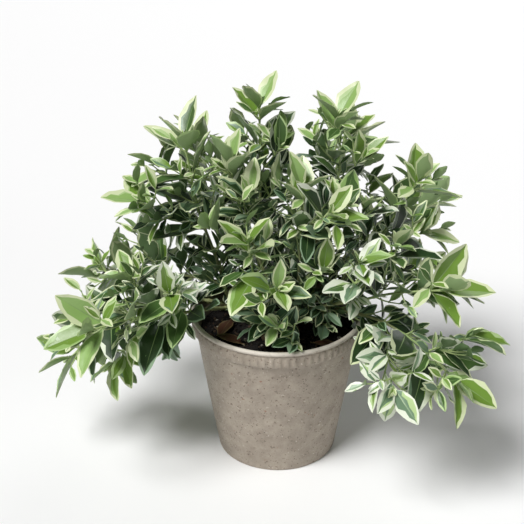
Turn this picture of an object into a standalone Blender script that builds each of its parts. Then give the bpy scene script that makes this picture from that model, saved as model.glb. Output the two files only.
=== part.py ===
"""A young variegated spindle in a round nine-centimetre nursery pot.

Metres, +Z up. The origin is the middle of the pot's flat underside, and -Y is the front.
The plant is grown by rule: stems stand on the soil, boughs leave the stems, and every
leafy mass grows on from a stem's tip or a bough's tip, in a space of its own.
"""

import math
import random

import bmesh
import bpy
import numpy
from mathutils import Matrix, Vector
from mathutils.bvhtree import BVHTree

MM = 0.001
UP = Vector((0.0, 0.0, 1.0))

# Pot: a thin moulded shell with a collar under a rounded lip
POT_HEIGHT = 80 * MM
RIM_RADIUS = 45 * MM
COLLAR_RADIUS = 43.9 * MM
COLLAR_DEPTH = 10 * MM
SHOULDER_RADIUS = 42.4 * MM
FOOT_RADIUS = 31.5 * MM
WALL = 1.4 * MM
POT_FLOOR = 2.0 * MM
LIP_HALF = 1.2 * MM
DRAIN_HOLES = 8
DRAIN_RADIUS = 3.0 * MM
DRAIN_RING = 22 * MM
POT_STEPS = 40

# Soil: fills the pot to just under the collar, flat where the stems stand
GAP = 0.3 * MM
SOIL_TOP = 68.5 * MM
SOIL_FLAT_RADIUS = 26 * MM
SOIL_EDGE_DROP = 2.0 * MM

# Limbs
STEM_SIDES = 8
BOUGH_SIDES = 6
LIMB_STEPS = 5
FLARE = 1.7
FLARE_SHARE = 0.22
TIP_SHARE = 0.78
BOUGH_RADIUS = 1.05 * MM

# Twigs and leaves
TWIG_RADIUS = 0.95 * MM
TWIG_TIP_RADIUS = 0.5 * MM
TWIG_SIDES = 3
TWIG_ROOM = 2.4 * MM
INTERNODE = 14.5 * MM
SIDE_TWIG_SHARE = 0.46
SIDE_TWIG_CHANCE = 0.8
SIDE_TWIGS_MOST = 3
AXIL_SHARE = 0.66
FIRST_STEP = 5 * MM
LEAF_LENGTH = 32 * MM
LOW_LEAF_SIZES = (0.52, 0.74, 0.92)
LEAF_WIDTH_SHARE = 0.52
LEAF_THICKNESS = 0.9 * MM
LEAF_SUNK = 0.25 * MM
LEAF_SOCKET_SHARE = 0.15
LEAF_CLEAR_SHARE = 0.2
LEAF_WIDEST = 0.44
LEAF_THICKEST = 0.32
LEAF_SAG = 0.16
LEAF_FOLD = 0.22
LEAF_TRIES = 9
CLEARANCE = 0.45 * MM
CELL_MARGIN = 0.3 * MM
LOWEST_LEAF = 6 * MM

# Stems stand on the soil.
# Name: foot x and y (mm), heading, first pitch, last pitch (degrees), length and radius (mm)
STEMS = {
    "stem_middle": (9, -3, -80, 86, 82, 16, 1.5),
    "stem_left": (-9, 5, 184, 46, 8, 31, 1.5),
    "stem_right": (15, 5, 10, 62, 46, 18, 1.4),
    "stem_back_left": (-7, 15, 130, 70, 56, 18, 1.5),
    "stem_back_right": (8, 16, 60, 70, 60, 18, 1.4),
    "stem_front": (-6, -11, -120, 74, 70, 15, 1.2),
}

# Boughs leave the side of a stem.
# Name: stem, share of its length, heading, first pitch, last pitch (degrees), length (mm)
BOUGHS = {
    "bough_left_upright": ("stem_left", 0.55, 140, 56, 74, 15),
    "bough_left_front": ("stem_left", 0.40, 226, 30, 16, 20),
    "bough_middle_right": ("stem_middle", 0.52, -30, 40, 24, 18),
    "bough_middle_left": ("stem_middle", 0.80, 176, 40, 58, 13),
    "bough_right_front": ("stem_right", 0.50, -50, 30, 12, 21),
    "bough_right_back": ("stem_right", 0.80, 66, 30, 22, 15),
    "bough_back_left_low": ("stem_back_left", 0.45, 178, 34, 12, 21),
    "bough_back_left_top": ("stem_back_left", 0.80, 70, 62, 82, 12),
    "bough_back_low": ("stem_back_right", 0.45, 104, 32, 10, 20),
    "bough_back_right_top": ("stem_back_right", 0.80, -4, 58, 80, 12),
}

# Leafy masses grow on from the tip of a stem or bough, or from a stem's side near the soil.
# Name: carrier, share of its length, heading, first pitch, last pitch (degrees), length (mm),
# leaf size
MASSES = {
    "leaves_middle": ("stem_middle", 1.0, -66, 82, 86, 62, 1.0),
    "leaves_left_trailing": ("stem_left", 1.0, 186, 2, -52, 78, 1.0),
    "leaves_right": ("stem_right", 1.0, 4, 50, 64, 74, 1.0),
    "leaves_back_left": ("stem_back_left", 1.0, 136, 50, 62, 74, 1.0),
    "leaves_back_right": ("stem_back_right", 1.0, 50, 54, 66, 74, 1.0),
    "leaves_front": ("stem_front", 1.0, -112, 66, 72, 48, 0.95),
    "leaves_left_upright": ("bough_left_upright", 1.0, 158, 68, 82, 70, 1.0),
    "leaves_left_front": ("bough_left_front", 1.0, 214, 14, 4, 64, 1.0),
    "leaves_middle_right": ("bough_middle_right", 1.0, -26, 26, 20, 60, 1.0),
    "leaves_middle_left": ("bough_middle_left", 1.0, 168, 66, 78, 66, 1.0),
    "leaves_right_front": ("bough_right_front", 1.0, -40, 8, -34, 68, 1.0),
    "leaves_right_back": ("bough_right_back", 1.0, 38, 22, 10, 66, 1.0),
    "leaves_back_left_low": ("bough_back_left_low", 1.0, 166, 8, -20, 64, 1.0),
    "leaves_back_left_top": ("bough_back_left_top", 1.0, 96, 82, 86, 76, 1.0),
    "leaves_back_low": ("bough_back_low", 1.0, 98, 8, -26, 58, 1.0),
    "leaves_back_right_top": ("bough_back_right_top", 1.0, 2, 76, 84, 76, 1.0),
    "leaves_low_front": ("stem_middle", 0.30, -118, 18, 34, 26, 0.62),
    "leaves_low_left": ("stem_left", 0.16, 118, 24, 40, 28, 0.66),
    "leaves_low_right": ("stem_right", 0.22, -72, 16, 26, 24, 0.62),
}


def clear_scene():
    for item in list(bpy.data.objects):
        bpy.data.objects.remove(item, do_unlink=True)


def new_material(name, colour, roughness):
    material = bpy.data.materials.new(name)
    material.use_nodes = True
    shader = material.node_tree.nodes["Principled BSDF"]
    shader.inputs["Base Color"].default_value = (*colour, 1.0)
    shader.inputs["Roughness"].default_value = roughness
    shader.inputs["Metallic"].default_value = 0.0
    return material


def new_object(name, corners, faces, material):
    mesh = bpy.data.meshes.new(name)
    mesh.from_pydata([tuple(corner) for corner in corners], [], faces)
    mesh.update()
    mesh.materials.append(material)
    made = bpy.data.objects.new(name, mesh)
    bpy.context.scene.collection.objects.link(made)
    return made


def turned(name, profile, steps, material):
    """Spins a profile of (radius, height) pairs, whose ends lie on the axis, into a closed body."""
    work = bmesh.new()
    corners = [work.verts.new((radius, 0.0, height)) for radius, height in profile]
    edges = [work.edges.new(pair) for pair in zip(corners, corners[1:])]
    bmesh.ops.spin(
        work,
        geom=corners + edges,
        cent=(0.0, 0.0, 0.0),
        axis=(0.0, 0.0, 1.0),
        angle=math.tau,
        steps=steps,
        use_duplicate=False,
    )
    bmesh.ops.remove_doubles(work, verts=work.verts, dist=0.01 * MM)
    bmesh.ops.recalc_face_normals(work, faces=work.faces)
    mesh = bpy.data.meshes.new(name)
    work.to_mesh(mesh)
    work.free()
    mesh.materials.append(material)
    mesh.shade_smooth()
    mesh.set_sharp_from_angle(angle=math.radians(35))
    made = bpy.data.objects.new(name, mesh)
    bpy.context.scene.collection.objects.link(made)
    return made


def inner_radius(height):
    """The radius of the pot's inner wall at a height between its floor and its shoulder."""
    share = height / (POT_HEIGHT - COLLAR_DEPTH)
    return FOOT_RADIUS + share * (SHOULDER_RADIUS - FOOT_RADIUS) - WALL


def make_pot(material):
    shoulder = POT_HEIGHT - COLLAR_DEPTH
    lip_low = POT_HEIGHT - 2 * LIP_HALF
    bevel = 0.8 * MM
    outside = [
        (0.0, 0.0),
        (FOOT_RADIUS - bevel, 0.0),
        (FOOT_RADIUS, bevel),
        (SHOULDER_RADIUS, shoulder),
        (COLLAR_RADIUS, shoulder + bevel),
        (COLLAR_RADIUS + 0.2 * MM, lip_low),
        (RIM_RADIUS, lip_low + 0.4 * LIP_HALF),
        (RIM_RADIUS, lip_low + 1.4 * LIP_HALF),
        (RIM_RADIUS - 0.5 * LIP_HALF, POT_HEIGHT),
    ]
    inside = [
        (RIM_RADIUS - 1.5 * LIP_HALF, POT_HEIGHT),
        (COLLAR_RADIUS - WALL, POT_HEIGHT - LIP_HALF),
        (COLLAR_RADIUS - WALL - 0.2 * MM, shoulder + bevel),
        (inner_radius(shoulder - bevel), shoulder - bevel),
        (inner_radius(POT_FLOOR), POT_FLOOR),
        (0.0, POT_FLOOR),
    ]
    pot = turned("pot", outside + inside, POT_STEPS, material)
    cutters = bmesh.new()
    for step in range(DRAIN_HOLES):
        turn = math.tau * (step + 0.5) / DRAIN_HOLES
        place = Vector((DRAIN_RING * math.cos(turn), DRAIN_RING * math.sin(turn), POT_FLOOR / 2))
        bmesh.ops.create_cone(
            cutters,
            cap_ends=True,
            segments=10,
            radius1=DRAIN_RADIUS,
            radius2=DRAIN_RADIUS,
            depth=4 * POT_FLOOR,
            matrix=Matrix.Translation(place),
        )
    mesh = bpy.data.meshes.new("drain_hole_cutters")
    cutters.to_mesh(mesh)
    cutters.free()
    holes = bpy.data.objects.new("drain_hole_cutters", mesh)
    bpy.context.scene.collection.objects.link(holes)
    holes.hide_render = True
    holes.display_type = "WIRE"
    cut = pot.modifiers.new("drain_holes", "BOOLEAN")
    cut.operation = "DIFFERENCE"
    cut.solver = "EXACT"
    cut.object = holes
    return pot


def make_soil(material):
    bottom = POT_FLOOR + GAP
    edge = SOIL_TOP - SOIL_EDGE_DROP
    profile = [
        (0.0, bottom),
        (inner_radius(bottom) - GAP, bottom),
        (inner_radius(edge) - GAP, edge),
        (SOIL_FLAT_RADIUS, SOIL_TOP),
        (0.0, SOIL_TOP),
    ]
    return turned("soil", profile, POT_STEPS, material)


def aim(heading, pitch):
    """The unit direction of a compass heading from +X and a pitch above the level, in degrees."""
    level = math.cos(math.radians(pitch))
    return Vector(
        (
            level * math.cos(math.radians(heading)),
            level * math.sin(math.radians(heading)),
            math.sin(math.radians(pitch)),
        )
    )


def walk(start, heading, first_pitch, last_pitch, length, steps, sway, draw):
    """Points along a limb that turns evenly from its first pitch to its last."""
    points = [start.copy()]
    for step in range(steps):
        share = (step + 0.5) / steps
        pitch = first_pitch + share * (last_pitch - first_pitch) + draw.uniform(-sway, sway)
        turn = heading + draw.uniform(-sway, sway)
        points.append(points[-1] + aim(turn, pitch) * (length / steps))
    return points


def at_share(points, share):
    """The point and the direction at a share of a line of even steps."""
    place = share * (len(points) - 1)
    step = min(int(place), len(points) - 2)
    run = points[step + 1] - points[step]
    return points[step] + run * (place - step), run.normalized()


def radius_at(radii, share):
    """The radius at a share of a limb's length."""
    place = share * (len(radii) - 1)
    step = min(int(place), len(radii) - 2)
    return radii[step] + (radii[step + 1] - radii[step]) * (place - step)


def side_start(carrier, share, direction, own_radius):
    """Where a side limb starts so that its flat end stands clear of the limb that carries it."""
    points, radii = carrier
    radius = radius_at(radii, share)
    place, along = at_share(points, share)
    cosine = abs(along.dot(direction))
    sine = math.sqrt(max(1.0 - cosine * cosine, 0.05))
    return place + direction * ((radius + GAP + 0.05 * MM + own_radius * cosine) / sine)


def limb_radii(radius, steps, flare):
    """A taper from the foot to the tip, with a flare at the foot of a stem."""
    radii = []
    for step in range(steps + 1):
        share = step / steps
        swell = 1.0 + (flare - 1.0) * max(1.0 - share / FLARE_SHARE, 0.0) ** 2
        radii.append(radius * (1.0 - (1.0 - TIP_SHARE) * share) * swell)
    return radii


def gather(corners, faces, more_corners, more_faces):
    """Adds one shape's corners and faces to lists that hold several shapes."""
    faces += [tuple(index + len(corners) for index in face) for face in more_faces]
    corners += more_corners


def tube(points, radii, sides):
    """Corners and faces of a closed tube with flat ends along a line of points."""
    corners = []
    across = None
    for step, point in enumerate(points):
        before = points[max(step - 1, 0)]
        after = points[min(step + 1, len(points) - 1)]
        along = (after - before).normalized()
        if step == 0 and along.z > 0.5 and sides == STEM_SIDES:
            along = UP.copy()
        if across is None:
            across = along.orthogonal().normalized()
        across = (across - along * across.dot(along)).normalized()
        beside = along.cross(across)
        for side in range(sides):
            turn = math.tau * side / sides
            spoke = across * math.cos(turn) + beside * math.sin(turn)
            corners.append(point + spoke * radii[step])
    faces = [tuple(range(sides - 1, -1, -1))]
    for step in range(len(points) - 1):
        low = step * sides
        for side in range(sides):
            other = (side + 1) % sides
            faces.append((low + side, low + other, low + sides + other, low + sides + side))
    last = (len(points) - 1) * sides
    faces.append(tuple(range(last, last + sides)))
    return corners, faces


def plan_limbs():
    """Lines and radii of the stems and boughs, worked out from their tables."""
    draw = random.Random(4)
    limbs = {}
    for name, (x, y, heading, first, last, length, radius) in STEMS.items():
        foot = Vector((x * MM, y * MM, SOIL_TOP + GAP))
        points = walk(foot, heading, first, last, length * MM, LIMB_STEPS, 3.0, draw)
        limbs[name] = (points, limb_radii(radius * MM, LIMB_STEPS, FLARE))
    for name, (stem, share, heading, first, last, length) in BOUGHS.items():
        start = side_start(limbs[stem], share, aim(heading, first), BOUGH_RADIUS)
        line = walk(start, heading, first, last, length * MM, LIMB_STEPS, 3.0, draw)
        limbs[name] = (line, limb_radii(BOUGH_RADIUS, LIMB_STEPS, 1.0))
    return limbs


def plan_axes(limbs):
    """The middle line of each mass, from 0.3 mm clear of its carrier."""
    axes = {}
    for number, (name, row) in enumerate(MASSES.items()):
        carrier, share, heading, first, last, length, _ = row
        draw = random.Random(100 + number)
        points, _ = limbs[carrier]
        if share < 1.0:
            way = aim(heading, first)
            start = side_start(limbs[carrier], share, way, TWIG_RADIUS)
        else:
            way = (points[-1] - points[-2]).normalized()
            start = points[-1] + way * GAP
        steps = max(2, round(length * MM / INTERNODE))
        line = [start, start + way * FIRST_STEP]
        line += walk(line[-1], heading, first, last, length * MM, steps, 5.0, draw)[1:]
        axes[name] = line
    return axes


class Space:
    """Says whether points lie in a mass's own space: nearer to its middle line than to another."""

    def __init__(self, axes):
        samples = []
        owners = []
        for number, line in enumerate(axes.values()):
            for start, end in zip(line, line[1:]):
                for part in range(4):
                    samples.append(tuple(start.lerp(end, part / 4)))
                    owners.append(number)
            samples.append(tuple(line[-1]))
            owners.append(number)
        self.samples = numpy.array(samples)
        self.owners = numpy.array(owners)
        self.names = list(axes)

    def holds(self, name, points):
        own = self.owners == self.names.index(name)
        spots = numpy.array([tuple(point) for point in points])
        if spots[:, 2].min() < LOWEST_LEAF:
            return False
        reach = numpy.linalg.norm(spots[:, None, :] - self.samples[None, :, :], axis=2)
        nearest_own = reach[:, own].min(axis=1)
        nearest_other = reach[:, ~own].min(axis=1)
        return bool((nearest_own + CELL_MARGIN <= nearest_other).all())


def twig_radii(count):
    """Radii that narrow evenly from a twig's foot to its tip."""
    narrowing = TWIG_RADIUS - TWIG_TIP_RADIUS
    return [TWIG_RADIUS - narrowing * step / (count - 1) for step in range(count)]


def plan_twigs(axes, space, limb_tree):
    """Each mass's twigs: its middle line, then side twigs from the axils where there is room."""
    twigs = {}
    for number, (name, line) in enumerate(axes.items()):
        draw = random.Random(200 + number)
        found = [line]
        for step in range(1, len(line) - 2):
            along = (line[step + 1] - line[step - 1]).normalized()
            across = along.orthogonal().normalized()
            for flank in (0.0, 0.5):
                turn = math.tau * (0.25 * step + flank) + draw.uniform(-0.4, 0.4)
                side = Matrix.Rotation(turn, 3, along) @ across
                length = (len(line) - step) * INTERNODE * SIDE_TWIG_SHARE * draw.uniform(0.8, 1.2)
                length = max(length, 1.6 * INTERNODE)
                steps = max(2, round(length / INTERNODE))
                lean = draw.uniform(0.55, 0.95)
                bend = draw.uniform(0.1, 0.5)
                if draw.random() > SIDE_TWIG_CHANCE or len(found) > SIDE_TWIGS_MOST:
                    continue
                points = [line[step].lerp(line[step + 1], AXIL_SHARE)]
                for part in range(steps):
                    share = (part + 0.5) / steps
                    way = side * (1.0 - 0.3 * share) + along * lean + UP * bend * share
                    points.append(points[-1] + way.normalized() * (length / steps))
                if not space.holds(name, points[1:]):
                    continue
                corners, faces = tube(points[1:], [TWIG_ROOM] * steps, BOUGH_SIDES)
                if BVHTree.FromPolygons(corners, faces).overlap(limb_tree):
                    continue
                found.append(points)
        twigs[name] = found
    return twigs


def leaf_solid(root, way, face, length, width, thickness, start_share=0.0):
    """Corners and faces of one leaf: a folded blade, widest before its middle."""
    side = face.cross(way).normalized()
    out = side.cross(face).normalized()

    def corner(along, across, lift):
        sag = LEAF_SAG * along * along * length
        fold = LEAF_FOLD * abs(across) * width
        return root + out * (along * length) + side * (across * width) + face * (lift + fold - sag)

    corners = [
        corner(start_share, 0.0, 0.0),
        corner(LEAF_WIDEST, 0.5, 0.0),
        corner(LEAF_WIDEST, -0.5, 0.0),
        corner(1.0, 0.0, 0.0),
        corner(LEAF_THICKEST, 0.0, 0.5 * thickness),
        corner(LEAF_THICKEST, 0.0, -0.5 * thickness),
    ]
    top = [(0, 4, 1), (0, 2, 4), (1, 4, 3), (2, 3, 4)]
    bottom = [(0, 1, 5), (0, 5, 2), (1, 3, 5), (2, 5, 3)]
    return corners, top + bottom


def leaf_envelope(leaf):
    """The leaf with room round it and without its root, for telling whether it is clear."""
    root, way, face, length, width = leaf
    thickness = LEAF_THICKNESS + 2 * CLEARANCE
    wide = width + 2 * CLEARANCE
    return leaf_solid(root, way, face, length + CLEARANCE, wide, thickness, LEAF_CLEAR_SHARE)


def node_places(line):
    """Where leaf pairs sit on a twig: halfway along each step, and one more pair at its tip."""
    last = len(line) - 1
    return [step + 0.5 for step in range(last)] + [last - 0.12]


def plan_leaves(twigs, space, limb_tree):
    """Opposite pairs of leaves along every twig, each turned until it is clear, or skipped."""
    twig_trees = {}
    for name, lines in twigs.items():
        corners = []
        faces = []
        for line in lines:
            gather(corners, faces, *tube(line, twig_radii(len(line)), TWIG_SIDES))
        twig_trees[name] = BVHTree.FromPolygons(corners, faces)
    leaves = {name: [] for name in twigs}
    taken = []
    for number, (name, lines) in enumerate(twigs.items()):
        draw = random.Random(300 + number)
        for order, line in enumerate(lines):
            for rank, place in enumerate(node_places(line)):
                share = place / (len(line) - 1)
                root, along = at_share(line, share)
                across = along.orthogonal().normalized()
                if order > 0:
                    across = Matrix.Rotation(0.7, 3, along) @ across
                young = max(0.0, (share - 0.6) / 0.4)
                size = LEAF_LENGTH * MASSES[name][-1] * (1.0 if order == 0 else 0.82)
                size *= 1.0 - 0.3 * young ** 2
                if order == 0 and rank < len(LOW_LEAF_SIZES):
                    size *= LOW_LEAF_SIZES[rank]
                pair = []
                for flank in (0.0, 0.5):
                    for attempt in range(LEAF_TRIES):
                        turn = math.tau * (0.25 * rank + flank) + draw.uniform(-0.35, 0.35)
                        turn += 0.3 * attempt * draw.choice((-1, 1))
                        spread = math.radians(
                            draw.uniform(58, 84) - 38 * young + 6 * attempt * draw.uniform(-1, 1)
                        )
                        length = size * draw.uniform(0.84, 1.14) * (1.0 - 0.05 * attempt)
                        width = length * LEAF_WIDTH_SHARE * draw.uniform(0.9, 1.1)
                        side = Matrix.Rotation(turn, 3, along) @ across
                        way = along * math.cos(spread) + side * math.sin(spread)
                        way = (way + UP * draw.uniform(-0.12, 0.22)).normalized()
                        light = along * (0.5 + 0.5 * young) + UP * 0.7
                        face = light - way * light.dot(way)
                        if face.length < 0.05:
                            continue
                        face.normalize()
                        leaf = (root, way, face, length, width)
                        corners, faces = leaf_envelope(leaf)
                        rim = [corners[index] for index in (1, 2, 3)]
                        rim += [corners[1].lerp(corners[3], 0.5), corners[2].lerp(corners[3], 0.5)]
                        if not space.holds(name, rim):
                            continue
                        tree = BVHTree.FromPolygons(corners, faces)
                        if tree.overlap(limb_tree):
                            continue
                        if any(tree.overlap(twig_trees[other]) for other in twigs):
                            continue
                        middle = root + way * (0.5 * length)
                        if any(
                            (middle - spot).length < 0.5 * (length + reach) + 2 * MM
                            and mark is not pair
                            and tree.overlap(rival)
                            for spot, reach, rival, mark in taken
                        ):
                            continue
                        solid = leaf_solid(*leaf, LEAF_THICKNESS, LEAF_SOCKET_SHARE)
                        taken.append((middle, length, BVHTree.FromPolygons(*solid), pair))
                        leaves[name].append(leaf)
                        pair.append(leaf)
                        break
    return leaves


def make_mass(name, lines, leaves, twig_material, leaf_material):
    """One closed body: the twigs and their leaves, joined by one union."""
    body = None
    group = bpy.data.collections.new(name)
    bpy.context.scene.collection.children.link(group)
    parts = [tube(line, twig_radii(len(line)), TWIG_SIDES) for line in lines]
    for root, way, face, length, width in leaves:
        sunk_root = root - way * LEAF_SUNK
        parts.append(leaf_solid(sunk_root, way, face, length + LEAF_SUNK, width, LEAF_THICKNESS))
    for number, (corners, faces) in enumerate(parts):
        material = twig_material if number < len(lines) else leaf_material
        piece = new_object(f"{name}_{number}", corners, faces, material)
        if body is None:
            body = piece
        else:
            bpy.context.scene.collection.objects.unlink(piece)
            group.objects.link(piece)
    body.name = name
    union = body.modifiers.new("join", "BOOLEAN")
    union.operation = "UNION"
    union.operand_type = "COLLECTION"
    union.collection = group
    union.solver = "EXACT"
    bpy.context.view_layer.objects.active = body
    bpy.ops.object.modifier_apply(modifier=union.name)
    for piece in list(group.objects):
        bpy.data.objects.remove(piece, do_unlink=True)
    bpy.data.collections.remove(group)
    keep_largest(body.data)
    return body


def keep_largest(mesh):
    """Drops loose scrap and fills sealed hollows: only the shell with the most faces stays."""
    work = bmesh.new()
    work.from_mesh(mesh)
    bmesh.ops.triangulate(work, faces=work.faces)
    bmesh.ops.dissolve_degenerate(work, edges=work.edges, dist=0.002 * MM)
    seen = set()
    shells = []
    for face in work.faces:
        if face in seen:
            continue
        shell = []
        edge = [face]
        seen.add(face)
        while edge:
            current = edge.pop()
            shell.append(current)
            for side in current.edges:
                for other in side.link_faces:
                    if other not in seen:
                        seen.add(other)
                        edge.append(other)
        shells.append(shell)
    shells.sort(key=len, reverse=True)
    scrap = [face for shell in shells[1:] for face in shell]
    bmesh.ops.delete(work, geom=scrap, context="FACES")
    work.to_mesh(mesh)
    work.free()


def pot_edges():
    """Corners and faces of a turned sheet just off the pot's wall, its rim and the soil."""
    reach = RIM_RADIUS + GAP
    top = POT_HEIGHT + GAP
    profile = [
        (reach, 0.0),
        (reach, top),
        (COLLAR_RADIUS - WALL - 4 * GAP, top),
        (SOIL_FLAT_RADIUS, SOIL_TOP + GAP),
        (0.0, SOIL_TOP + GAP),
    ]
    corners = []
    faces = []
    for (radius, height), (next_radius, next_height) in zip(profile, profile[1:]):
        for step in range(POT_STEPS):
            here = math.tau * step / POT_STEPS
            there = math.tau * (step + 1) / POT_STEPS
            patch = [
                Vector((radius * math.cos(here), radius * math.sin(here), height)),
                Vector((radius * math.cos(there), radius * math.sin(there), height)),
                Vector((next_radius * math.cos(there), next_radius * math.sin(there), next_height)),
                Vector((next_radius * math.cos(here), next_radius * math.sin(here), next_height)),
            ]
            gather(corners, faces, patch, [(0, 1, 2, 3)])
    return corners, faces


def main():
    clear_scene()
    pot_material = new_material("pot_moulded", (0.30, 0.26, 0.215), 0.7)
    soil_material = new_material("potting_soil", (0.022, 0.018, 0.014), 0.95)
    stem_material = new_material("stem_bark", (0.30, 0.30, 0.14), 0.6)
    leaf_material = new_material("leaf_variegated", (0.20, 0.33, 0.13), 0.5)
    make_pot(pot_material)
    make_soil(soil_material)
    limbs = plan_limbs()
    all_corners, all_faces = pot_edges()
    for name, (points, radii) in limbs.items():
        sides = STEM_SIDES if name in STEMS else BOUGH_SIDES
        corners, faces = tube(points, radii, sides)
        limb = new_object(name, corners, faces, stem_material)
        limb.data.shade_smooth()
        limb.data.set_sharp_from_angle(angle=math.radians(50))
        gather(all_corners, all_faces, corners, faces)
    limb_tree = BVHTree.FromPolygons(all_corners, all_faces)
    axes = plan_axes(limbs)
    space = Space(axes)
    twigs = plan_twigs(axes, space, limb_tree)
    leaves = plan_leaves(twigs, space, limb_tree)
    for name in MASSES:
        make_mass(name, twigs[name], leaves[name], stem_material, leaf_material)


main()
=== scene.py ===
"""A young variegated spindle in its nine-centimetre nursery pot.

Metres, +Z up, -Y is the front, and the origin is the middle of the pot's flat underside.
The stems, boughs, twigs and leaves grow by the rule and the draws of the part's source, and
go on from there to finer twigs and smaller leaves.
"""

import math
import random

import bmesh
import bpy
import numpy
from mathutils import Matrix, Vector, noise
from mathutils.bvhtree import BVHTree


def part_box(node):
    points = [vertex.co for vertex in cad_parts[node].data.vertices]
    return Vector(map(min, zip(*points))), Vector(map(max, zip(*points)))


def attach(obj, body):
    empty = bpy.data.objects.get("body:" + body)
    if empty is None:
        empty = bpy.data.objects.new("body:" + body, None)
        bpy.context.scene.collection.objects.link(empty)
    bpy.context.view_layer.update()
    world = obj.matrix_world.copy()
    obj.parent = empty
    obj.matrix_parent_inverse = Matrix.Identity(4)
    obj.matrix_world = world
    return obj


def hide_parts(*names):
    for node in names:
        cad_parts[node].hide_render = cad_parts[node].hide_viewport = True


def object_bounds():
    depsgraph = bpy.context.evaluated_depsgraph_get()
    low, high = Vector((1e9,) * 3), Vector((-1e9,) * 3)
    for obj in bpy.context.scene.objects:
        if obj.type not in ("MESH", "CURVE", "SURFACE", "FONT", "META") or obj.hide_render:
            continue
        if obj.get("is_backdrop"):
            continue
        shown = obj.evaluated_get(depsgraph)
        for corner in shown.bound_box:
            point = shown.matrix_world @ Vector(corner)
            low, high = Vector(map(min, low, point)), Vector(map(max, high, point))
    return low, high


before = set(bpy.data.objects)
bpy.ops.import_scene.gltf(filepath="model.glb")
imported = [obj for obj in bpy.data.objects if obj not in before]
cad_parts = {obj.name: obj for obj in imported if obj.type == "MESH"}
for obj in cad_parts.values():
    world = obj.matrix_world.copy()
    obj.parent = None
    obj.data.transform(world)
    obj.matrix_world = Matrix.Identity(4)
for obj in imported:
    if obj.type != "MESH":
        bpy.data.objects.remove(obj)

bpy.ops.object.select_all(action="DESELECT")
cad_low, cad_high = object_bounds()

# The pot
# A nine-centimetre nursery pot of speckled taupe plastic, moulded in one shot: a thin tapering
# wall, a collar with fine upright ribs under a rounded lip, and drain holes in a flat floor.

MM = 0.001
UP = Vector((0.0, 0.0, 1.0))
pot_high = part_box("pot")[1]
POT_HEIGHT = pot_high.z
RIM_RADIUS = pot_high.x
COLLAR_RADIUS = RIM_RADIUS - 1.1 * MM
COLLAR_DEPTH = 10 * MM
SHOULDER_RADIUS = RIM_RADIUS - 2.6 * MM
FOOT_RADIUS = 0.7 * RIM_RADIUS
FOOT_ROUND = 0.8 * MM
WALL = 1.4 * MM
WALL_STEPS = 8
POT_FLOOR = 2.0 * MM
LIP_HALF = 1.2 * MM
POT_SIDES = 288
RIB_DEPTH = 0.65 * MM
RIB_COLUMNS = 4
DRAIN_HOLES = 8
DRAIN_RADIUS = 3.0 * MM
DRAIN_RING = 22 * MM
WALL_DRIFT = 0.5 * MM
DRIFT_SIZES = {"X": 60 * MM, "Y": 78 * MM}
FLECK_RAGGED = 2.2 * MM


def paint(red, green, blue):
    """A colour as a paint chart gives it, from 0 to 255, in the shader's linear values."""
    parts = [value / 255 for value in (red, green, blue)]
    return tuple(
        part / 12.92 if part <= 0.04045 else ((part + 0.055) / 1.055) ** 2.4 for part in parts
    )


def add_node(tree, kind, inputs=None, **settings):
    """Adds a node, sets its own settings, and fills its inputs from values or from sockets."""
    node = tree.nodes.new(kind)
    for name, value in settings.items():
        setattr(node, name, value)
    for name, value in (inputs or {}).items():
        if isinstance(value, bpy.types.NodeSocket):
            tree.links.new(value, node.inputs[name])
        else:
            node.inputs[name].default_value = value
    return node


def calculated(tree, operation, *values, clamp=False):
    """The result of one step of arithmetic on values or sockets."""
    inputs = dict(enumerate(values))
    node = add_node(tree, "ShaderNodeMath", inputs, operation=operation, use_clamp=clamp)
    return node.outputs[0]


def mapped(tree, value, *ends):
    """A value carried over: from low, from high, to low, to high."""
    return add_node(tree, "ShaderNodeMapRange", dict(enumerate((value, *ends)))).outputs[0]


def mixed(tree, share, *colours):
    """A mix of two colours, each a socket or red, green and blue."""
    inputs = {0: share}
    for number, colour in zip((6, 7), colours):
        plain = not isinstance(colour, bpy.types.NodeSocket)
        inputs[number] = (*colour, 1.0) if plain else colour
    return add_node(tree, "ShaderNodeMix", inputs, data_type="RGBA").outputs[2]


def surface_place(tree):
    """Where a point of the surface lies, in its object's own coordinates."""
    return add_node(tree, "ShaderNodeTexCoord").outputs["Object"]


def clouds(tree, place, scale, detail=2.0, roughness=0.5):
    """The outputs of a cloudy pattern."""
    inputs = {"Vector": place, "Scale": scale, "Detail": detail, "Roughness": roughness}
    return add_node(tree, "ShaderNodeTexNoise", inputs).outputs


def grain_group():
    """Fine grain at one scale: a roughness that varies a little and the normal of its relief."""
    group = bpy.data.node_groups.new("fine_grain", "ShaderNodeTree")
    for name in ("Scale", "Roughness", "Spread", "Relief"):
        group.interface.new_socket(name, in_out="INPUT", socket_type="NodeSocketFloat")
    for name, kind in (("Roughness", "Float"), ("Normal", "Vector")):
        group.interface.new_socket(name, in_out="OUTPUT", socket_type=f"NodeSocket{kind}")
    ends = add_node(group, "NodeGroupInput").outputs
    cloud = clouds(group, surface_place(group), ends["Scale"], 4.0, 0.6)["Fac"]
    centred = calculated(group, "SUBTRACT", cloud, 0.5)
    rough = calculated(group, "MULTIPLY_ADD", centred, ends["Spread"], ends["Roughness"])
    inputs = {"Strength": 1.0, "Distance": ends["Relief"], "Height": cloud}
    relief = add_node(group, "ShaderNodeBump", inputs).outputs["Normal"]
    add_node(group, "NodeGroupOutput", {"Roughness": rough, "Normal": relief})
    return group


FINE_GRAIN = grain_group()


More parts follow.
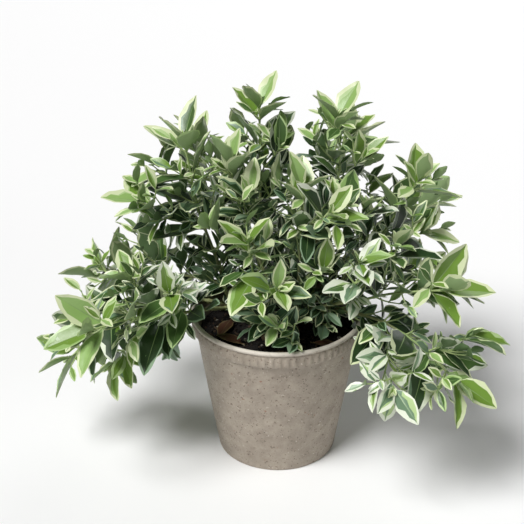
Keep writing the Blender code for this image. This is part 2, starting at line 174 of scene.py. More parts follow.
def new_material(name, colour, roughness, grain=None):
    """A material and its shader, with fine grain by its scale, spread and relief."""
    material = bpy.data.materials.new(name)
    material.use_nodes = True
    tree = material.node_tree
    shader = tree.nodes["Principled BSDF"]
    shader.inputs["Base Color"].default_value = (*colour, 1.0)
    shader.inputs["Roughness"].default_value = roughness
    if grain:
        scale, spread, relief = grain
        inputs = {"Scale": scale, "Roughness": roughness, "Spread": spread, "Relief": relief}
        grown = add_node(tree, "ShaderNodeGroup", inputs, node_tree=FINE_GRAIN)
        for output in ("Roughness", "Normal"):
            tree.links.new(grown.outputs[output], shader.inputs[output])
    return material, shader


def speckled(shader, ground, specks):
    """Colours a shader with a mottled ground and scattered specks of given colours."""
    tree = shader.id_data
    place = surface_place(tree)
    drift = clouds(tree, place, 110.0, 9.0, 0.72)["Fac"]
    ripples = clouds(tree, place, 1300.0)["Color"]
    inputs = {0: ripples, 1: (FLECK_RAGGED,) * 3, 2: place}
    ragged = add_node(tree, "ShaderNodeVectorMath", inputs, operation="MULTIPLY_ADD").outputs[0]
    pale, dark = ground
    colour = mixed(tree, drift, dark, pale)
    for scale, reach, share, speck in specks:
        cells = add_node(tree, "ShaderNodeTexVoronoi", {"Vector": ragged, "Scale": scale}).outputs
        dot = mapped(tree, cells["Distance"], reach, 0.6 * reach, 0.0, 1.0)
        chosen = calculated(tree, "LESS_THAN", cells["Color"], share)
        colour = mixed(tree, calculated(tree, "MULTIPLY", dot, chosen), colour, speck)
    tree.links.new(colour, shader.inputs["Base Color"])


def painted_lip_highlight(shader, low, high, pale):
    """Pales a shader's colour in patches between two heights: a painted highlight on the lit top of
    a rim.
    """
    tree = shader.id_data
    colour = shader.inputs["Base Color"].links[0].from_socket
    place = surface_place(tree)
    height = add_node(tree, "ShaderNodeSeparateXYZ", {0: place}).outputs["Z"]
    rise = mapped(tree, height, low, high, 0.0, 1.7)
    patches = clouds(tree, place, 140.0, 5.0)["Fac"]
    highlight_share = calculated(tree, "MULTIPLY", rise, patches, clamp=True)
    tree.links.new(mixed(tree, highlight_share, colour, pale), shader.inputs["Base Color"])


def on_round(radius, turn, height):
    """The place at a radius and a turn round the upright axis."""
    return Vector((radius * math.cos(turn), radius * math.sin(turn), height))


def arc(middle_radius, middle_height, reach, first, last, steps):
    """Points of a profile on a round, from one angle to another in degrees."""
    turns = [math.radians(first + (last - first) * step / steps) for step in range(steps + 1)]
    return [
        (middle_radius + reach * math.cos(turn), middle_height + reach * math.sin(turn))
        for turn in turns
    ]


def inner_radius(height):
    """The radius of the pot's inner wall at a height between its floor and its shoulder."""
    share = height / (POT_HEIGHT - COLLAR_DEPTH)
    return FOOT_RADIUS + share * (SHOULDER_RADIUS - FOOT_RADIUS) - WALL


def draw_up(profile, radius, height):
    """Extrudes the selected face along a profile of (radius, height) points."""
    for next_radius, next_height in profile:
        bpy.ops.mesh.extrude_region_move(
            TRANSFORM_OT_translate={"value": (0.0, 0.0, next_height - height)}
        )
        scale = next_radius / radius
        bpy.ops.transform.resize(value=(scale, scale, 1.0))
        radius, height = next_radius, next_height


def select_corners(piece, wanted):
    """Selects in edit mode the corners whose place passes a test, and nothing else."""
    bpy.ops.mesh.select_mode(type="VERT")
    bpy.ops.mesh.select_all(action="DESELECT")
    work = bmesh.from_edit_mesh(piece.data)
    for corner in work.verts:
        corner.select = wanted(corner.co)
    work.select_flush_mode()
    bmesh.update_edit_mesh(piece.data)


def heave(piece, direction, size, strength, middle=0.5, group=""):
    """Moves the active piece's corners along one axis by a cloudy pattern of a given size."""
    pattern = bpy.data.textures.new(f"{piece.name}_{direction}", "CLOUDS")
    pattern.noise_scale = size
    shift = piece.modifiers.new("heave", "DISPLACE")
    shift.texture = pattern
    shift.direction = direction
    shift.strength = strength
    shift.mid_level = middle
    shift.vertex_group = group
    bpy.ops.object.modifier_apply(modifier=shift.name)


shoulder = POT_HEIGHT - COLLAR_DEPTH
lip_low = POT_HEIGHT - 2 * LIP_HALF
profile = arc(FOOT_RADIUS - FOOT_ROUND, FOOT_ROUND, FOOT_ROUND, -60, 0, 3)
for step in range(1, WALL_STEPS):
    share = step / WALL_STEPS
    radius = FOOT_RADIUS + share * (SHOULDER_RADIUS - FOOT_RADIUS)
    profile.append((radius, FOOT_ROUND + share * (shoulder - FOOT_ROUND)))
profile += [
    (SHOULDER_RADIUS, shoulder - 0.2 * MM),
    (SHOULDER_RADIUS + 0.4 * MM, shoulder + 0.1 * MM),
    (COLLAR_RADIUS - 0.3 * MM, shoulder + 0.5 * MM),
    (COLLAR_RADIUS, shoulder + 1.1 * MM),
    (COLLAR_RADIUS + 0.03 * MM, shoulder + 1.9 * MM),
    (COLLAR_RADIUS + 0.1 * MM, 0.5 * (shoulder + lip_low)),
    (COLLAR_RADIUS + 0.17 * MM, lip_low - 0.9 * MM),
    (COLLAR_RADIUS + 0.2 * MM, lip_low - 0.1 * MM),
]
profile += arc(RIM_RADIUS - LIP_HALF, POT_HEIGHT - LIP_HALF, LIP_HALF, -55, 180, 12)
profile += [
    (COLLAR_RADIUS - WALL, POT_HEIGHT - 2 * LIP_HALF),
    (COLLAR_RADIUS - WALL - 0.2 * MM, shoulder + 1.0 * MM),
    (inner_radius(shoulder - 0.6 * MM), shoulder - 0.6 * MM),
    (inner_radius(0.5 * shoulder), 0.5 * shoulder),
    (inner_radius(POT_FLOOR), POT_FLOOR),
]
bpy.ops.mesh.primitive_circle_add(
    vertices=POT_SIDES, radius=FOOT_RADIUS - FOOT_ROUND, fill_type="NGON", location=(0, 0, 0)
)
pot = bpy.context.object
pot.name = "nursery_pot"
bpy.ops.object.mode_set(mode="EDIT")
draw_up(profile, FOOT_RADIUS - FOOT_ROUND, 0.0)


def on_a_rib(place):
    """True on the crest of each upright rib of the collar's outer side."""
    column = round(math.atan2(place.y, place.x) / math.tau * POT_SIDES)
    level = shoulder + 1.5 * MM < place.z < lip_low - 0.5 * MM
    outer = math.hypot(place.x, place.y) > COLLAR_RADIUS - 0.5 * MM
    return level and outer and column % RIB_COLUMNS < 2


select_corners(pot, on_a_rib)
rib_scale = 1.0 + RIB_DEPTH / COLLAR_RADIUS
bpy.ops.transform.resize(value=(rib_scale, rib_scale, 1.0))
bpy.ops.mesh.select_all(action="SELECT")
bpy.ops.mesh.normals_make_consistent(inside=False)
bpy.ops.object.mode_set(mode="OBJECT")
bpy.ops.object.select_all(action="DESELECT")
for step in range(DRAIN_HOLES):
    bpy.ops.mesh.primitive_cylinder_add(
        vertices=28,
        radius=DRAIN_RADIUS,
        depth=4 * POT_FLOOR,
        location=on_round(DRAIN_RING, math.tau * (step + 0.5) / DRAIN_HOLES, POT_FLOOR / 2),
    )
    cutter = bpy.context.object
    bpy.context.view_layer.objects.active = pot
    hole = pot.modifiers.new("drain_hole", "BOOLEAN")
    hole.operation = "DIFFERENCE"
    hole.solver = "EXACT"
    hole.object = cutter
    bpy.ops.object.modifier_apply(modifier=hole.name)
    bpy.data.objects.remove(cutter, do_unlink=True)
for direction, size in DRIFT_SIZES.items():
    heave(pot, direction, size, WALL_DRIFT)
pot.data.shade_smooth()
pot.data.set_sharp_from_angle(angle=math.radians(32))
pot_material, pot_shader = new_material(
    "pot_speckled_taupe", paint(150, 140, 128), 0.6, (900.0, 0.35, 0.22 * MM)
)
speckled(
    pot_shader,
    (paint(200, 188, 172), paint(108, 96, 83)),
    (
        (420.0, 0.30, 0.30, paint(122, 107, 94)),
        (820.0, 0.34, 0.34, paint(106, 94, 82)),
        (360.0, 0.24, 0.12, paint(146, 104, 84)),
        (620.0, 0.28, 0.26, paint(196, 186, 172)),
    ),
)
# The top of the lip is paler in patches: a painted highlight.
painted_lip_highlight(pot_shader, POT_HEIGHT - 2.4 * MM, POT_HEIGHT - 0.6 * MM, paint(216, 208, 196))
pot.data.materials.append(pot_material)
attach(pot, "root")
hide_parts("pot")

# The soil
# Dark peat compost, pressed in by hand to just under the collar. Its top is crumbly, with loose
# crumbs, bark chips, root fibres and a little grit lying on it.

SOIL_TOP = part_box("soil")[1].z
SOIL_SIDES = 96
SOIL_RINGS = 20
SOIL_SLOPE_RINGS = 8
SOIL_DROP = 2.0 * MM
SOIL_ROUGH = ((7.0 * MM, 1.7 * MM), (2.4 * MM, 1.1 * MM))

soil_edge = SOIL_TOP - SOIL_DROP
soil_foot = POT_FLOOR + 0.2 * MM
soil_radius = inner_radius(soil_edge) - 0.1 * MM
foot_radius = inner_radius(soil_foot) - 0.1 * MM
bpy.ops.mesh.primitive_circle_add(
    vertices=SOIL_SIDES, radius=foot_radius, fill_type="NGON", location=(0, 0, soil_foot)
)
soil = bpy.context.object
soil.name = "potting_soil"
bpy.ops.object.transform_apply(location=True, rotation=False, scale=False)
bpy.ops.object.mode_set(mode="EDIT")
draw_up([(soil_radius, soil_edge)], foot_radius, soil_foot)
ring_width = soil_radius / (SOIL_RINGS + 0.6)
for ring in range(SOIL_RINGS):
    rise = SOIL_DROP / SOIL_SLOPE_RINGS if ring < SOIL_SLOPE_RINGS else 0.0
    bpy.ops.mesh.inset(thickness=ring_width, depth=rise, use_even_offset=False)
bpy.ops.mesh.poke()
select_corners(soil, lambda place: place.z > soil_edge - 0.1 * MM)
bpy.ops.mesh.subdivide(number_cuts=1)
bpy.ops.mesh.select_all(action="SELECT")
bpy.ops.mesh.normals_make_consistent(inside=False)
bpy.ops.object.mode_set(mode="OBJECT")
top = soil.vertex_groups.new(name="top")
for corner in soil.data.vertices:
    if corner.co.z > soil_edge + 0.05 * MM:
        top.add([corner.index], 1.0, "REPLACE")
for size, height in SOIL_ROUGH:
    heave(soil, "Z", size, height, 0.55, "top")
soil.data.shade_smooth()
soil_material, soil_shader = new_material(
    "peat_compost", paint(30, 25, 20), 0.95, (1400.0, 0.2, 0.5 * MM)
)
speckled(
    soil_shader,
    (paint(38, 31, 26), paint(8, 6, 5)),
    ((300.0, 0.40, 0.26, paint(46, 37, 29)), (520.0, 0.34, 0.10, paint(72, 60, 46))),
)
soil.data.materials.append(soil_material)
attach(soil, "root")
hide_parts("soil")

# The stems
# Six woody stems stand in the soil, three millimetres thick, brown at the foot and greener
# above. The bark has fine lengthwise ridges, old leaf scars and a flare where it enters the soil.

GAP = 0.3 * MM
SOIL_FLAT_RADIUS = 26 * MM
STEM_SIDES = 8
BOUGH_SIDES = 6
POT_STEPS = 40
LIMB_STEPS = 5
FLARE = 1.7
FLARE_SHARE = 0.22
TIP_SHARE = 0.78
BOUGH_RADIUS = 1.05 * MM
BARK_SIDES = 20
BARK_STEP = 0.55 * MM
BARK_RIDGE = 0.12
SCAR_SPACING = 7.5 * MM
SCAR_SWELL = 0.26
SCAR_REACH = 0.75 * MM
STEM_SUNK = 3.0 * MM
COLLAR_REACH = 2.2 * MM

# Name: foot x and y (mm), heading, first pitch, last pitch (degrees), length and radius (mm)
STEMS = {
    "stem_middle": (9, -3, -80, 86, 82, 16, 1.5),
    "stem_left": (-9, 5, 184, 46, 8, 31, 1.5),
    "stem_right": (15, 5, 10, 62, 46, 18, 1.4),
    "stem_back_left": (-7, 15, 130, 70, 56, 18, 1.5),
    "stem_back_right": (8, 16, 60, 70, 60, 18, 1.4),
    "stem_front": (-6, -11, -120, 74, 70, 15, 1.2),
}

# Name: stem, share of its length, heading, first pitch, last pitch (degrees), length (mm)
BOUGHS = {
    "bough_left_upright": ("stem_left", 0.55, 140, 56, 74, 15),
    "bough_left_front": ("stem_left", 0.40, 226, 30, 16, 20),
    "bough_middle_right": ("stem_middle", 0.52, -30, 40, 24, 18),
    "bough_middle_left": ("stem_middle", 0.80, 176, 40, 58, 13),
    "bough_right_front": ("stem_right", 0.50, -50, 30, 12, 21),
    "bough_right_back": ("stem_right", 0.80, 66, 30, 22, 15),
    "bough_back_left_low": ("stem_back_left", 0.45, 178, 34, 12, 21),
    "bough_back_left_top": ("stem_back_left", 0.80, 70, 62, 82, 12),
    "bough_back_low": ("stem_back_right", 0.45, 104, 32, 10, 20),
    "bough_back_right_top": ("stem_back_right", 0.80, -4, 58, 80, 12),
}


class Pile:
    """Many small shapes that make one piece: corners, faces and each face's material number."""

    def __init__(self):
        self.corners = []
        self.faces = []
        self.slots = []

    def add(self, corners, faces, slots=0):
        """Adds a shape, with one material number for all its faces or a list with one for each."""
        first = len(self.corners)
        self.faces += [tuple(index + first for index in face) for face in faces]
        self.corners += corners
        self.slots += slots if isinstance(slots, list) else [slots] * len(faces)

    def tree(self):
        """The shapes in the form that tells whether others overlap them."""
        return BVHTree.FromPolygons(self.corners, self.faces)

    def piece(self, name, materials, sharp_degrees=60):
        """The shapes as one object."""
        mesh = bpy.data.meshes.new(name)
        mesh.from_pydata([tuple(corner) for corner in self.corners], [], self.faces)
        for material in materials:
            mesh.materials.append(material)
        mesh.polygons.foreach_set("material_index", self.slots)
        mesh.update()
        mesh.shade_smooth()
        mesh.set_sharp_from_angle(angle=math.radians(sharp_degrees))
        piece = bpy.data.objects.new(name, mesh)
        bpy.context.scene.collection.objects.link(piece)
        return piece


def aim(heading, pitch):
    """The unit direction of a compass heading from +X and a pitch above the level, in degrees."""
    level = math.cos(math.radians(pitch))
    return on_round(level, math.radians(heading), math.sin(math.radians(pitch)))


def walk(start, heading, first_pitch, last_pitch, length, steps, sway, draw):
    """Points along a limb that turns evenly from its first pitch to its last."""
    points = [start.copy()]
    for step in range(steps):
        share = (step + 0.5) / steps
        pitch = first_pitch + share * (last_pitch - first_pitch) + draw.uniform(-sway, sway)
        turn = heading + draw.uniform(-sway, sway)
        points.append(points[-1] + aim(turn, pitch) * (length / steps))
    return points


def between(values, share):
    """The value at a share of a list of even steps, and how much that step changes it."""
    place = share * (len(values) - 1)
    step = min(int(place), len(values) - 2)
    change = values[step + 1] - values[step]
    return values[step] + change * (place - step), change


def at_share(points, share):
    """The point and the direction at a share of a line of even steps."""
    spot, run = between(points, share)
    return spot, run.normalized()


def side_start(carrier, share, direction, own_radius):
    """Where a side limb starts so that its flat end stands clear of the limb that carries it."""
    points, radii = carrier
    radius, _ = between(radii, share)
    place, along = at_share(points, share)
    cosine = abs(along.dot(direction))
    sine = math.sqrt(max(1.0 - cosine * cosine, 0.05))
    return place + direction * ((radius + GAP + 0.05 * MM + own_radius * cosine) / sine)


def limb_radii(radius, flare):
    """A taper from the foot to the tip, with a flare at the foot of a stem."""
    radii = []
    for step in range(LIMB_STEPS + 1):
        share = step / LIMB_STEPS
        swell = 1.0 + (flare - 1.0) * max(1.0 - share / FLARE_SHARE, 0.0) ** 2
        radii.append(radius * (1.0 - (1.0 - TIP_SHARE) * share) * swell)
    return radii


def tube(points, radii, sides):
    """Corners and faces of a closed tube with flat ends along a line of points."""
    corners = []
    across = None
    for step, point in enumerate(points):
        before = points[max(step - 1, 0)]
        after = points[min(step + 1, len(points) - 1)]
        along = (after - before).normalized()
        if step == 0 and along.z > 0.5 and sides == STEM_SIDES:
            along = UP.copy()
        if across is None:
            across = along.orthogonal().normalized()
        across = (across - along * across.dot(along)).normalized()
        beside = along.cross(across)
        for side in range(sides):
            turn = math.tau * side / sides
            spoke = across * math.cos(turn) + beside * math.sin(turn)
            corners.append(point + spoke * radii[step])
    faces = [tuple(range(sides - 1, -1, -1))]
    last = (len(points) - 1) * sides
    for low in range(0, last, sides):
        for side in range(sides):
            other = (side + 1) % sides
            faces.append((low + side, low + other, low + sides + other, low + sides + side))
    faces.append(tuple(range(last, last + sides)))
    return corners, faces


def plan_limbs():
    """Lines and radii of the stems and boughs, worked out from their tables."""
    draw = random.Random(4)
    limbs = {}
    for name, (x, y, heading, first, last, length, radius) in STEMS.items():
        foot = Vector((x * MM, y * MM, SOIL_TOP + GAP))
        points = walk(foot, heading, first, last, length * MM, LIMB_STEPS, 3.0, draw)
        limbs[name] = (points, limb_radii(radius * MM, FLARE))
    for name, (stem, share, heading, first, last, length) in BOUGHS.items():
        start = side_start(limbs[stem], share, aim(heading, first), BOUGH_RADIUS)
        points = walk(start, heading, first, last, length * MM, LIMB_STEPS, 3.0, draw)
        limbs[name] = (points, limb_radii(BOUGH_RADIUS, 1.0))
    return limbs


def smooth_line(points, parts):
    """Points of a smooth line that touches the middle of each straight step, with their places.

    A place is counted in steps, so the middle of the first step is at 0.5.
    """
    middles = [start.lerp(end, 0.5) for start, end in zip(points, points[1:])]
    line = [points[0].lerp(middles[0], part / parts) for part in range(0, parts, 2)]
    places = [0.5 * part / parts for part in range(0, parts, 2)]
    for step, (start, end) in enumerate(zip(middles, middles[1:])):
        bend = points[step + 1]
        for part in range(parts):
            share = part / parts
            line.append(start.lerp(bend, share).lerp(bend.lerp(end, share), share))
            places.append(step + 0.5 + share)
    for part in range(0, parts + 1, 2):
        line.append(middles[-1].lerp(points[-1], part / parts))
        places.append(len(points) - 1.5 + 0.5 * part / parts)
    return line, places


def bark_limb(points, radii, sunk, swell, seed):
    """A limb with bark relief: its foot runs on into what carries it, and scars ring it."""
    length = sum((end - start).length for start, end in zip(points, points[1:]))
    parts = 2 * math.ceil(0.5 * length / (len(points) - 1) / BARK_STEP)
    line, places = smooth_line(points, parts)
    foot_way = (points[1] - points[0]).normalized()
    extra = [line[0] - foot_way * sunk * share for share in (1.0, 0.6, 0.3)]
    widths = [radii[0] * swell * factor for factor in (1.12, 1.12, 1.08)]
    travelled = 0.0
    for number, (spot, place) in enumerate(zip(line, places)):
        if number:
            travelled += (spot - line[number - 1]).length
        radius, _ = between(radii, place / (len(points) - 1))
        collar = 1.0 + (swell - 1.0) * max(0.0, 1.0 - travelled / COLLAR_REACH) ** 2
        near = (travelled + 0.37 * SCAR_SPACING) % SCAR_SPACING - 0.5 * SCAR_SPACING
        scar = 1.0 + SCAR_SWELL * math.exp(-((near / SCAR_REACH) ** 2))
        widths.append(radius * collar * scar)
    line = extra + line
    corners, faces = tube(line, widths, BARK_SIDES)
    for index, corner in enumerate(corners):
        step, side = divmod(index, BARK_SIDES)
        turn = math.tau * side / BARK_SIDES
        ridge = noise.fractal(on_round(2.1, turn, 0.16 * step + 7.3 * seed), 0.9, 2.0, 3)
        strip = 0.35 * math.cos(5 * turn + 0.9 * math.sin(0.21 * step + seed))
        corners[index] = line[step].lerp(corner, 1.0 + BARK_RIDGE * (1.1 * ridge + strip))
    return corners, faces


def bark(name, colour, roughness, relief, low, high, foot, tip):
    """Bark coloured from a limb's foot to its tip, broken up by streaks along it."""
    material, shader = new_material(name, colour, roughness, (2600.0, 0.3, relief))
    tree = material.node_tree
    place = surface_place(tree)
    height = add_node(tree, "ShaderNodeSeparateXYZ", {0: place}).outputs["Z"]
    inputs = {"Vector": place, "Scale": (1.0, 1.0, 0.3)}
    squeezed = add_node(tree, "ShaderNodeMapping", inputs).outputs[0]
    streaks = clouds(tree, squeezed, 900.0, 5.0, 0.65)["Fac"]
    rise = mapped(tree, height, low, high, -0.25, 0.75)
    share = calculated(tree, "ADD", rise, streaks, clamp=True)
    sharper = mapped(tree, share, 0.25, 0.85, 0.0, 1.0)
    tree.links.new(mixed(tree, sharper, foot, tip), shader.inputs["Base Color"])
    return material


def bark_pile(names, sunk, swell, first_seed):
    """The finished shapes of several limbs."""
    pile = Pile()
    for seed, name in enumerate(names, first_seed):
        pile.add(*bark_limb(*limbs[name], sunk, swell, seed))
    return pile


limbs = plan_limbs()
stem_bark = bark(
    "young_bark",
    paint(120, 118, 82),
    0.68,
    0.12 * MM,
    SOIL_TOP,
    SOIL_TOP + 26 * MM,
    paint(112, 92, 70),
    paint(146, 150, 102),
)
stems = bark_pile(STEMS, STEM_SUNK, 1.0, 0).piece("stems", [stem_bark])
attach(stems, "root")
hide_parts(*STEMS)

# The boughs
# Side limbs leave the stems at old leaf nodes, each with a small collar of bark where it joins.
# They are the stems' own wood, a little greener, and carry the leafy twigs on their tips.

BOUGH_SUNK = 1.9 * MM
BOUGH_COLLAR = 1.45

bough_bark = bark(
    "bough_bark",
    paint(126, 132, 86),
    0.64,
    0.1 * MM,
    SOIL_TOP - 6 * MM,
    SOIL_TOP + 24 * MM,
    paint(126, 108, 80),
    paint(150, 156, 106),
)
boughs = bark_pile(BOUGHS, BOUGH_SUNK, BOUGH_COLLAR, 20).piece("boughs", [bough_bark])
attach(boughs, "root")
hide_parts(*BOUGHS)

# The twigs
# Green shoots of this and last year grow on from the limbs in nineteen masses, two millimetres
# thick and swollen at each pair of leaves. Side twigs leave the axils wherever there is room.

TWIG_RADIUS = 0.95 * MM
TWIG_TIP_RADIUS = 0.5 * MM
TWIG_NARROWING = TWIG_RADIUS - TWIG_TIP_RADIUS
TWIG_SIDES = 3
TWIG_ROOM = 2.4 * MM
INTERNODE = 14.5 * MM
SIDE_TWIG_SHARE = 0.46
SIDE_TWIG_CHANCE = 0.8
SIDE_TWIGS_MOST = 3
AXIL_SHARE = 0.66
FIRST_STEP = 5 * MM
CELL_MARGIN = 0.3 * MM
LOWEST_LEAF = 6 * MM
FINE_SIDES = 8
FINE_PARTS = 8
NODE_SWELL = 0.34
NODE_REACH = 1.15 * MM
TWIG_SUNK = 1.4 * MM

# Name: carrier, share of its length, heading, first pitch, last pitch (degrees), length (mm),
# leaf size
MASSES = {
    "leaves_middle": ("stem_middle", 1.0, -66, 82, 86, 62, 1.0),
    "leaves_left_trailing": ("stem_left", 1.0, 186, 2, -52, 78, 1.0),
    "leaves_right": ("stem_right", 1.0, 4, 50, 64, 74, 1.0),
    "leaves_back_left": ("stem_back_left", 1.0, 136, 50, 62, 74, 1.0),
    "leaves_back_right": ("stem_back_right", 1.0, 50, 54, 66, 74, 1.0),
    "leaves_front": ("stem_front", 1.0, -112, 66, 72, 48, 0.95),
    "leaves_left_upright": ("bough_left_upright", 1.0, 158, 68, 82, 70, 1.0),
    "leaves_left_front": ("bough_left_front", 1.0, 214, 14, 4, 64, 1.0),
    "leaves_middle_right": ("bough_middle_right", 1.0, -26, 26, 20, 60, 1.0),
    "leaves_middle_left": ("bough_middle_left", 1.0, 168, 66, 78, 66, 1.0),
    "leaves_right_front": ("bough_right_front", 1.0, -40, 8, -34, 68, 1.0),
    "leaves_right_back": ("bough_right_back", 1.0, 38, 22, 10, 66, 1.0),
    "leaves_back_left_low": ("bough_back_left_low", 1.0, 166, 8, -20, 64, 1.0),
    "leaves_back_left_top": ("bough_back_left_top", 1.0, 96, 82, 86, 76, 1.0),
    "leaves_back_low": ("bough_back_low", 1.0, 98, 8, -26, 58, 1.0),
    "leaves_back_right_top": ("bough_back_right_top", 1.0, 2, 76, 84, 76, 1.0),
    "leaves_low_front": ("stem_middle", 0.30, -118, 18, 34, 26, 0.62),
    "leaves_low_left": ("stem_left", 0.16, 118, 24, 40, 28, 0.66),
    "leaves_low_right": ("stem_right", 0.22, -72, 16, 26, 24, 0.62),
}


def plan_axes():
    """The middle line of each mass, from 0.3 mm clear of its carrier."""
    axes = {}
    for number, (name, row) in enumerate(MASSES.items()):
        carrier, share, heading, first, last, length, _ = row
        points, _ = limbs[carrier]
        if share < 1.0:
            way = aim(heading, first)
            start = side_start(limbs[carrier], share, way, TWIG_RADIUS)
        else:
            way = (points[-1] - points[-2]).normalized()
            start = points[-1] + way * GAP
        steps = max(2, round(length * MM / INTERNODE))
        line = [start, start + way * FIRST_STEP]
        draw = random.Random(100 + number)
        line += walk(line[-1], heading, first, last, length * MM, steps, 5.0, draw)[1:]
        axes[name] = line
    return axes


class Space:
    """Says whether points lie in a mass's own space: nearer to its middle line than to another."""

    def __init__(self, axes):
        samples = []
        owners = []
        for name, line in axes.items():
            for start, end in zip(line, line[1:]):
                samples += [tuple(start.lerp(end, part / 4)) for part in range(4)]
            samples.append(tuple(line[-1]))
            owners += [name] * (4 * len(line) - 3)
        self.samples = numpy.array(samples)
        self.owners = numpy.array(owners)

    def holds(self, name, points):
        """True where all the points are in the mass's space and high enough over the ground."""
        spots = numpy.array([tuple(point) for point in points])
        if spots[:, 2].min() < LOWEST_LEAF:
            return False
        own = self.owners == name
        reach = numpy.linalg.norm(spots[:, None, :] - self.samples[None, :, :], axis=2)
        nearest_own = reach[:, own].min(axis=1)
        nearest_other = reach[:, ~own].min(axis=1)
        return bool((nearest_own + CELL_MARGIN <= nearest_other).all())


def side_twig(line, step, flank, along, draw):
    """The points of a side twig from the axil over one node, and whether it is wanted."""
    turn = math.tau * (0.25 * step + flank) + draw.uniform(-0.4, 0.4)
    side = Matrix.Rotation(turn, 3, along) @ along.orthogonal().normalized()
    length = (len(line) - step) * INTERNODE * SIDE_TWIG_SHARE * draw.uniform(0.8, 1.2)
    length = max(length, 1.6 * INTERNODE)
    steps = max(2, round(length / INTERNODE))
    lean = draw.uniform(0.55, 0.95)
    bend = draw.uniform(0.1, 0.5)
    wanted = draw.random() <= SIDE_TWIG_CHANCE
    points = [line[step].lerp(line[step + 1], AXIL_SHARE)]
    for part in range(steps):
        share = (part + 0.5) / steps
        way = side * (1.0 - 0.3 * share) + along * lean + UP * bend * share
        points.append(points[-1] + way.normalized() * (length / steps))
    return points, wanted


def plan_twigs():
    """Each mass's twigs: its middle line, then side twigs from the axils where there is room."""
    twigs = {}
    for number, (name, line) in enumerate(axes.items()):
        draw = random.Random(200 + number)
        found = [line]
        for step in range(1, len(line) - 2):
            along = (line[step + 1] - line[step - 1]).normalized()
            for flank in (0.0, 0.5):
                points, wanted = side_twig(line, step, flank, along, draw)
                free = points[1:]
                if not wanted or len(found) > SIDE_TWIGS_MOST or not space.holds(name, free):
                    continue
                room = tube(free, [TWIG_ROOM] * len(free), BOUGH_SIDES)
                if not BVHTree.FromPolygons(*room).overlap(limb_tree):
                    found.append(points)
        twigs[name] = found
    return twigs


def node_places(line):
    """Where leaf pairs sit on a twig: halfway along each step, and one more pair at its tip."""
    last = len(line) - 1
    return [step + 0.5 for step in range(last)] + [last - 0.12]


def pot_sheet():
    """A turned sheet just off the pot's wall, its rim and the soil."""
    top = POT_HEIGHT + GAP
    profile = [
        (RIM_RADIUS + GAP, 0.0),
        (RIM_RADIUS + GAP, top),
        (COLLAR_RADIUS - WALL - 4 * GAP, top),
        (SOIL_FLAT_RADIUS, SOIL_TOP + GAP),
        (0.0, SOIL_TOP + GAP),
    ]
    sheet = Pile()
    for low, high in zip(profile, profile[1:]):
        for step in range(POT_STEPS):
            here = math.tau * step / POT_STEPS
            there = math.tau * (step + 1) / POT_STEPS
            spots = ((low, here), (low, there), (high, there), (high, here))
            patch = [on_round(radius, turn, height) for (radius, height), turn in spots]
            sheet.add(patch, [(0, 1, 2, 3)])
    return sheet


def fine_twig(line, foot_radius, sunk):
    """A twig with swollen nodes, whose foot runs on into what carries it."""
    smooth, places = smooth_line(line, FINE_PARTS)
    step_length = (line[-1] - line[-2]).length
    nodes = node_places(line)
    radii = [foot_radius]
    for place in places:
        plain = TWIG_RADIUS - TWIG_NARROWING * (place / (len(line) - 1))
        plain += (foot_radius - TWIG_RADIUS) * max(0.0, 1.0 - place) ** 2
        away = min(abs(place - node) for node in nodes) * step_length
        radii.append(plain * (0.9 + NODE_SWELL * math.exp(-((away / NODE_REACH) ** 2))))
    foot_way = (line[1] - line[0]).normalized()
    smooth = [smooth[0] - foot_way * sunk] + smooth
    return *tube(smooth, radii, FINE_SIDES), places


def finishes(colours, roughness, grain):
    """One material for each named colour, all with the same gloss and grain."""
    return [new_material(name, colour, roughness, grain)[0] for name, colour in colours.items()]


limb_pile = pot_sheet()
for name, (points, radii) in limbs.items():
    limb_pile.add(*tube(points, radii, STEM_SIDES if name in STEMS else BOUGH_SIDES))
limb_tree = limb_pile.tree()
axes = plan_axes()
space = Space(axes)
twigs = plan_twigs()

twig_draw = random.Random(600)
twig_pile = Pile()
twig_trees = []
for name, lines in twigs.items():
    carrier, share, *_ = MASSES[name]
    for order, line in enumerate(lines):
        on_tip = order == 0 and share == 1.0
        foot_radius = limbs[carrier][1][-1] if on_tip else 0.9 * TWIG_RADIUS
        corners, faces, places = fine_twig(line, foot_radius, TWIG_SUNK if order == 0 else 0.0)
        turning = (len(line) - 1) * twig_draw.uniform(0.35, 0.6) if order == 0 else 0.0
        greening = (len(line) - 1) * twig_draw.uniform(0.7, 0.9)
        ring_slots = [(place > turning) + (place > greening) for place in [0.0] + places[:-1]]
        slots = ring_slots[:1] + [slot for slot in ring_slots for _ in range(FINE_SIDES)]
        twig_pile.add(corners, faces, slots + [2] * (len(faces) - len(slots)))
        twig_trees.append(BVHTree.FromPolygons(corners, faces))
twig_colours = {
    "twig_older": paint(138, 144, 98),
    "twig_green": paint(136, 158, 96),
    "twig_young": paint(172, 190, 128),
}
twig_materials = finishes(twig_colours, 0.52, (2200.0, 0.3, 0.05 * MM))

# The leaves
# Opposite pairs of leathery, finely toothed leaves, two to three and a half centimetres long,
# each with a green field, greyer splashes and an uneven cream edge that is wider on young ones.

LEAF_LENGTH = 32 * MM
LOW_LEAF_SIZES = (0.52, 0.74, 0.92)
LEAF_WIDTH_SHARE = 0.52
LEAF_THICKNESS = 0.9 * MM
LEAF_SUNK = 0.25 * MM
LEAF_SOCKET_SHARE = 0.15
LEAF_CLEAR_SHARE = 0.2
LEAF_WIDEST = 0.44
LEAF_THICKEST = 0.32
LEAF_SAG = 0.16
LEAF_FOLD = 0.22
LEAF_TRIES = 9
CLEARANCE = 0.45 * MM
PETIOLE_SHARE = 0.11
PETIOLE_RADIUS = 0.5 * MM
OUTLINE_POWER = 0.86
OUTLINE_ROUND = 0.74
BLADE_SLIM = 0.88
BLADE_TWIST = 0.3
PLAIN_FIELD = (0.42, 0.86)
FROSTED_FIELD = (0.16, 0.55)
VEIN_SLANT = 0.62
VEIN_RELIEF = 0.2 * MM
TOOTH = 0.03
ROW_EASE = 0.5
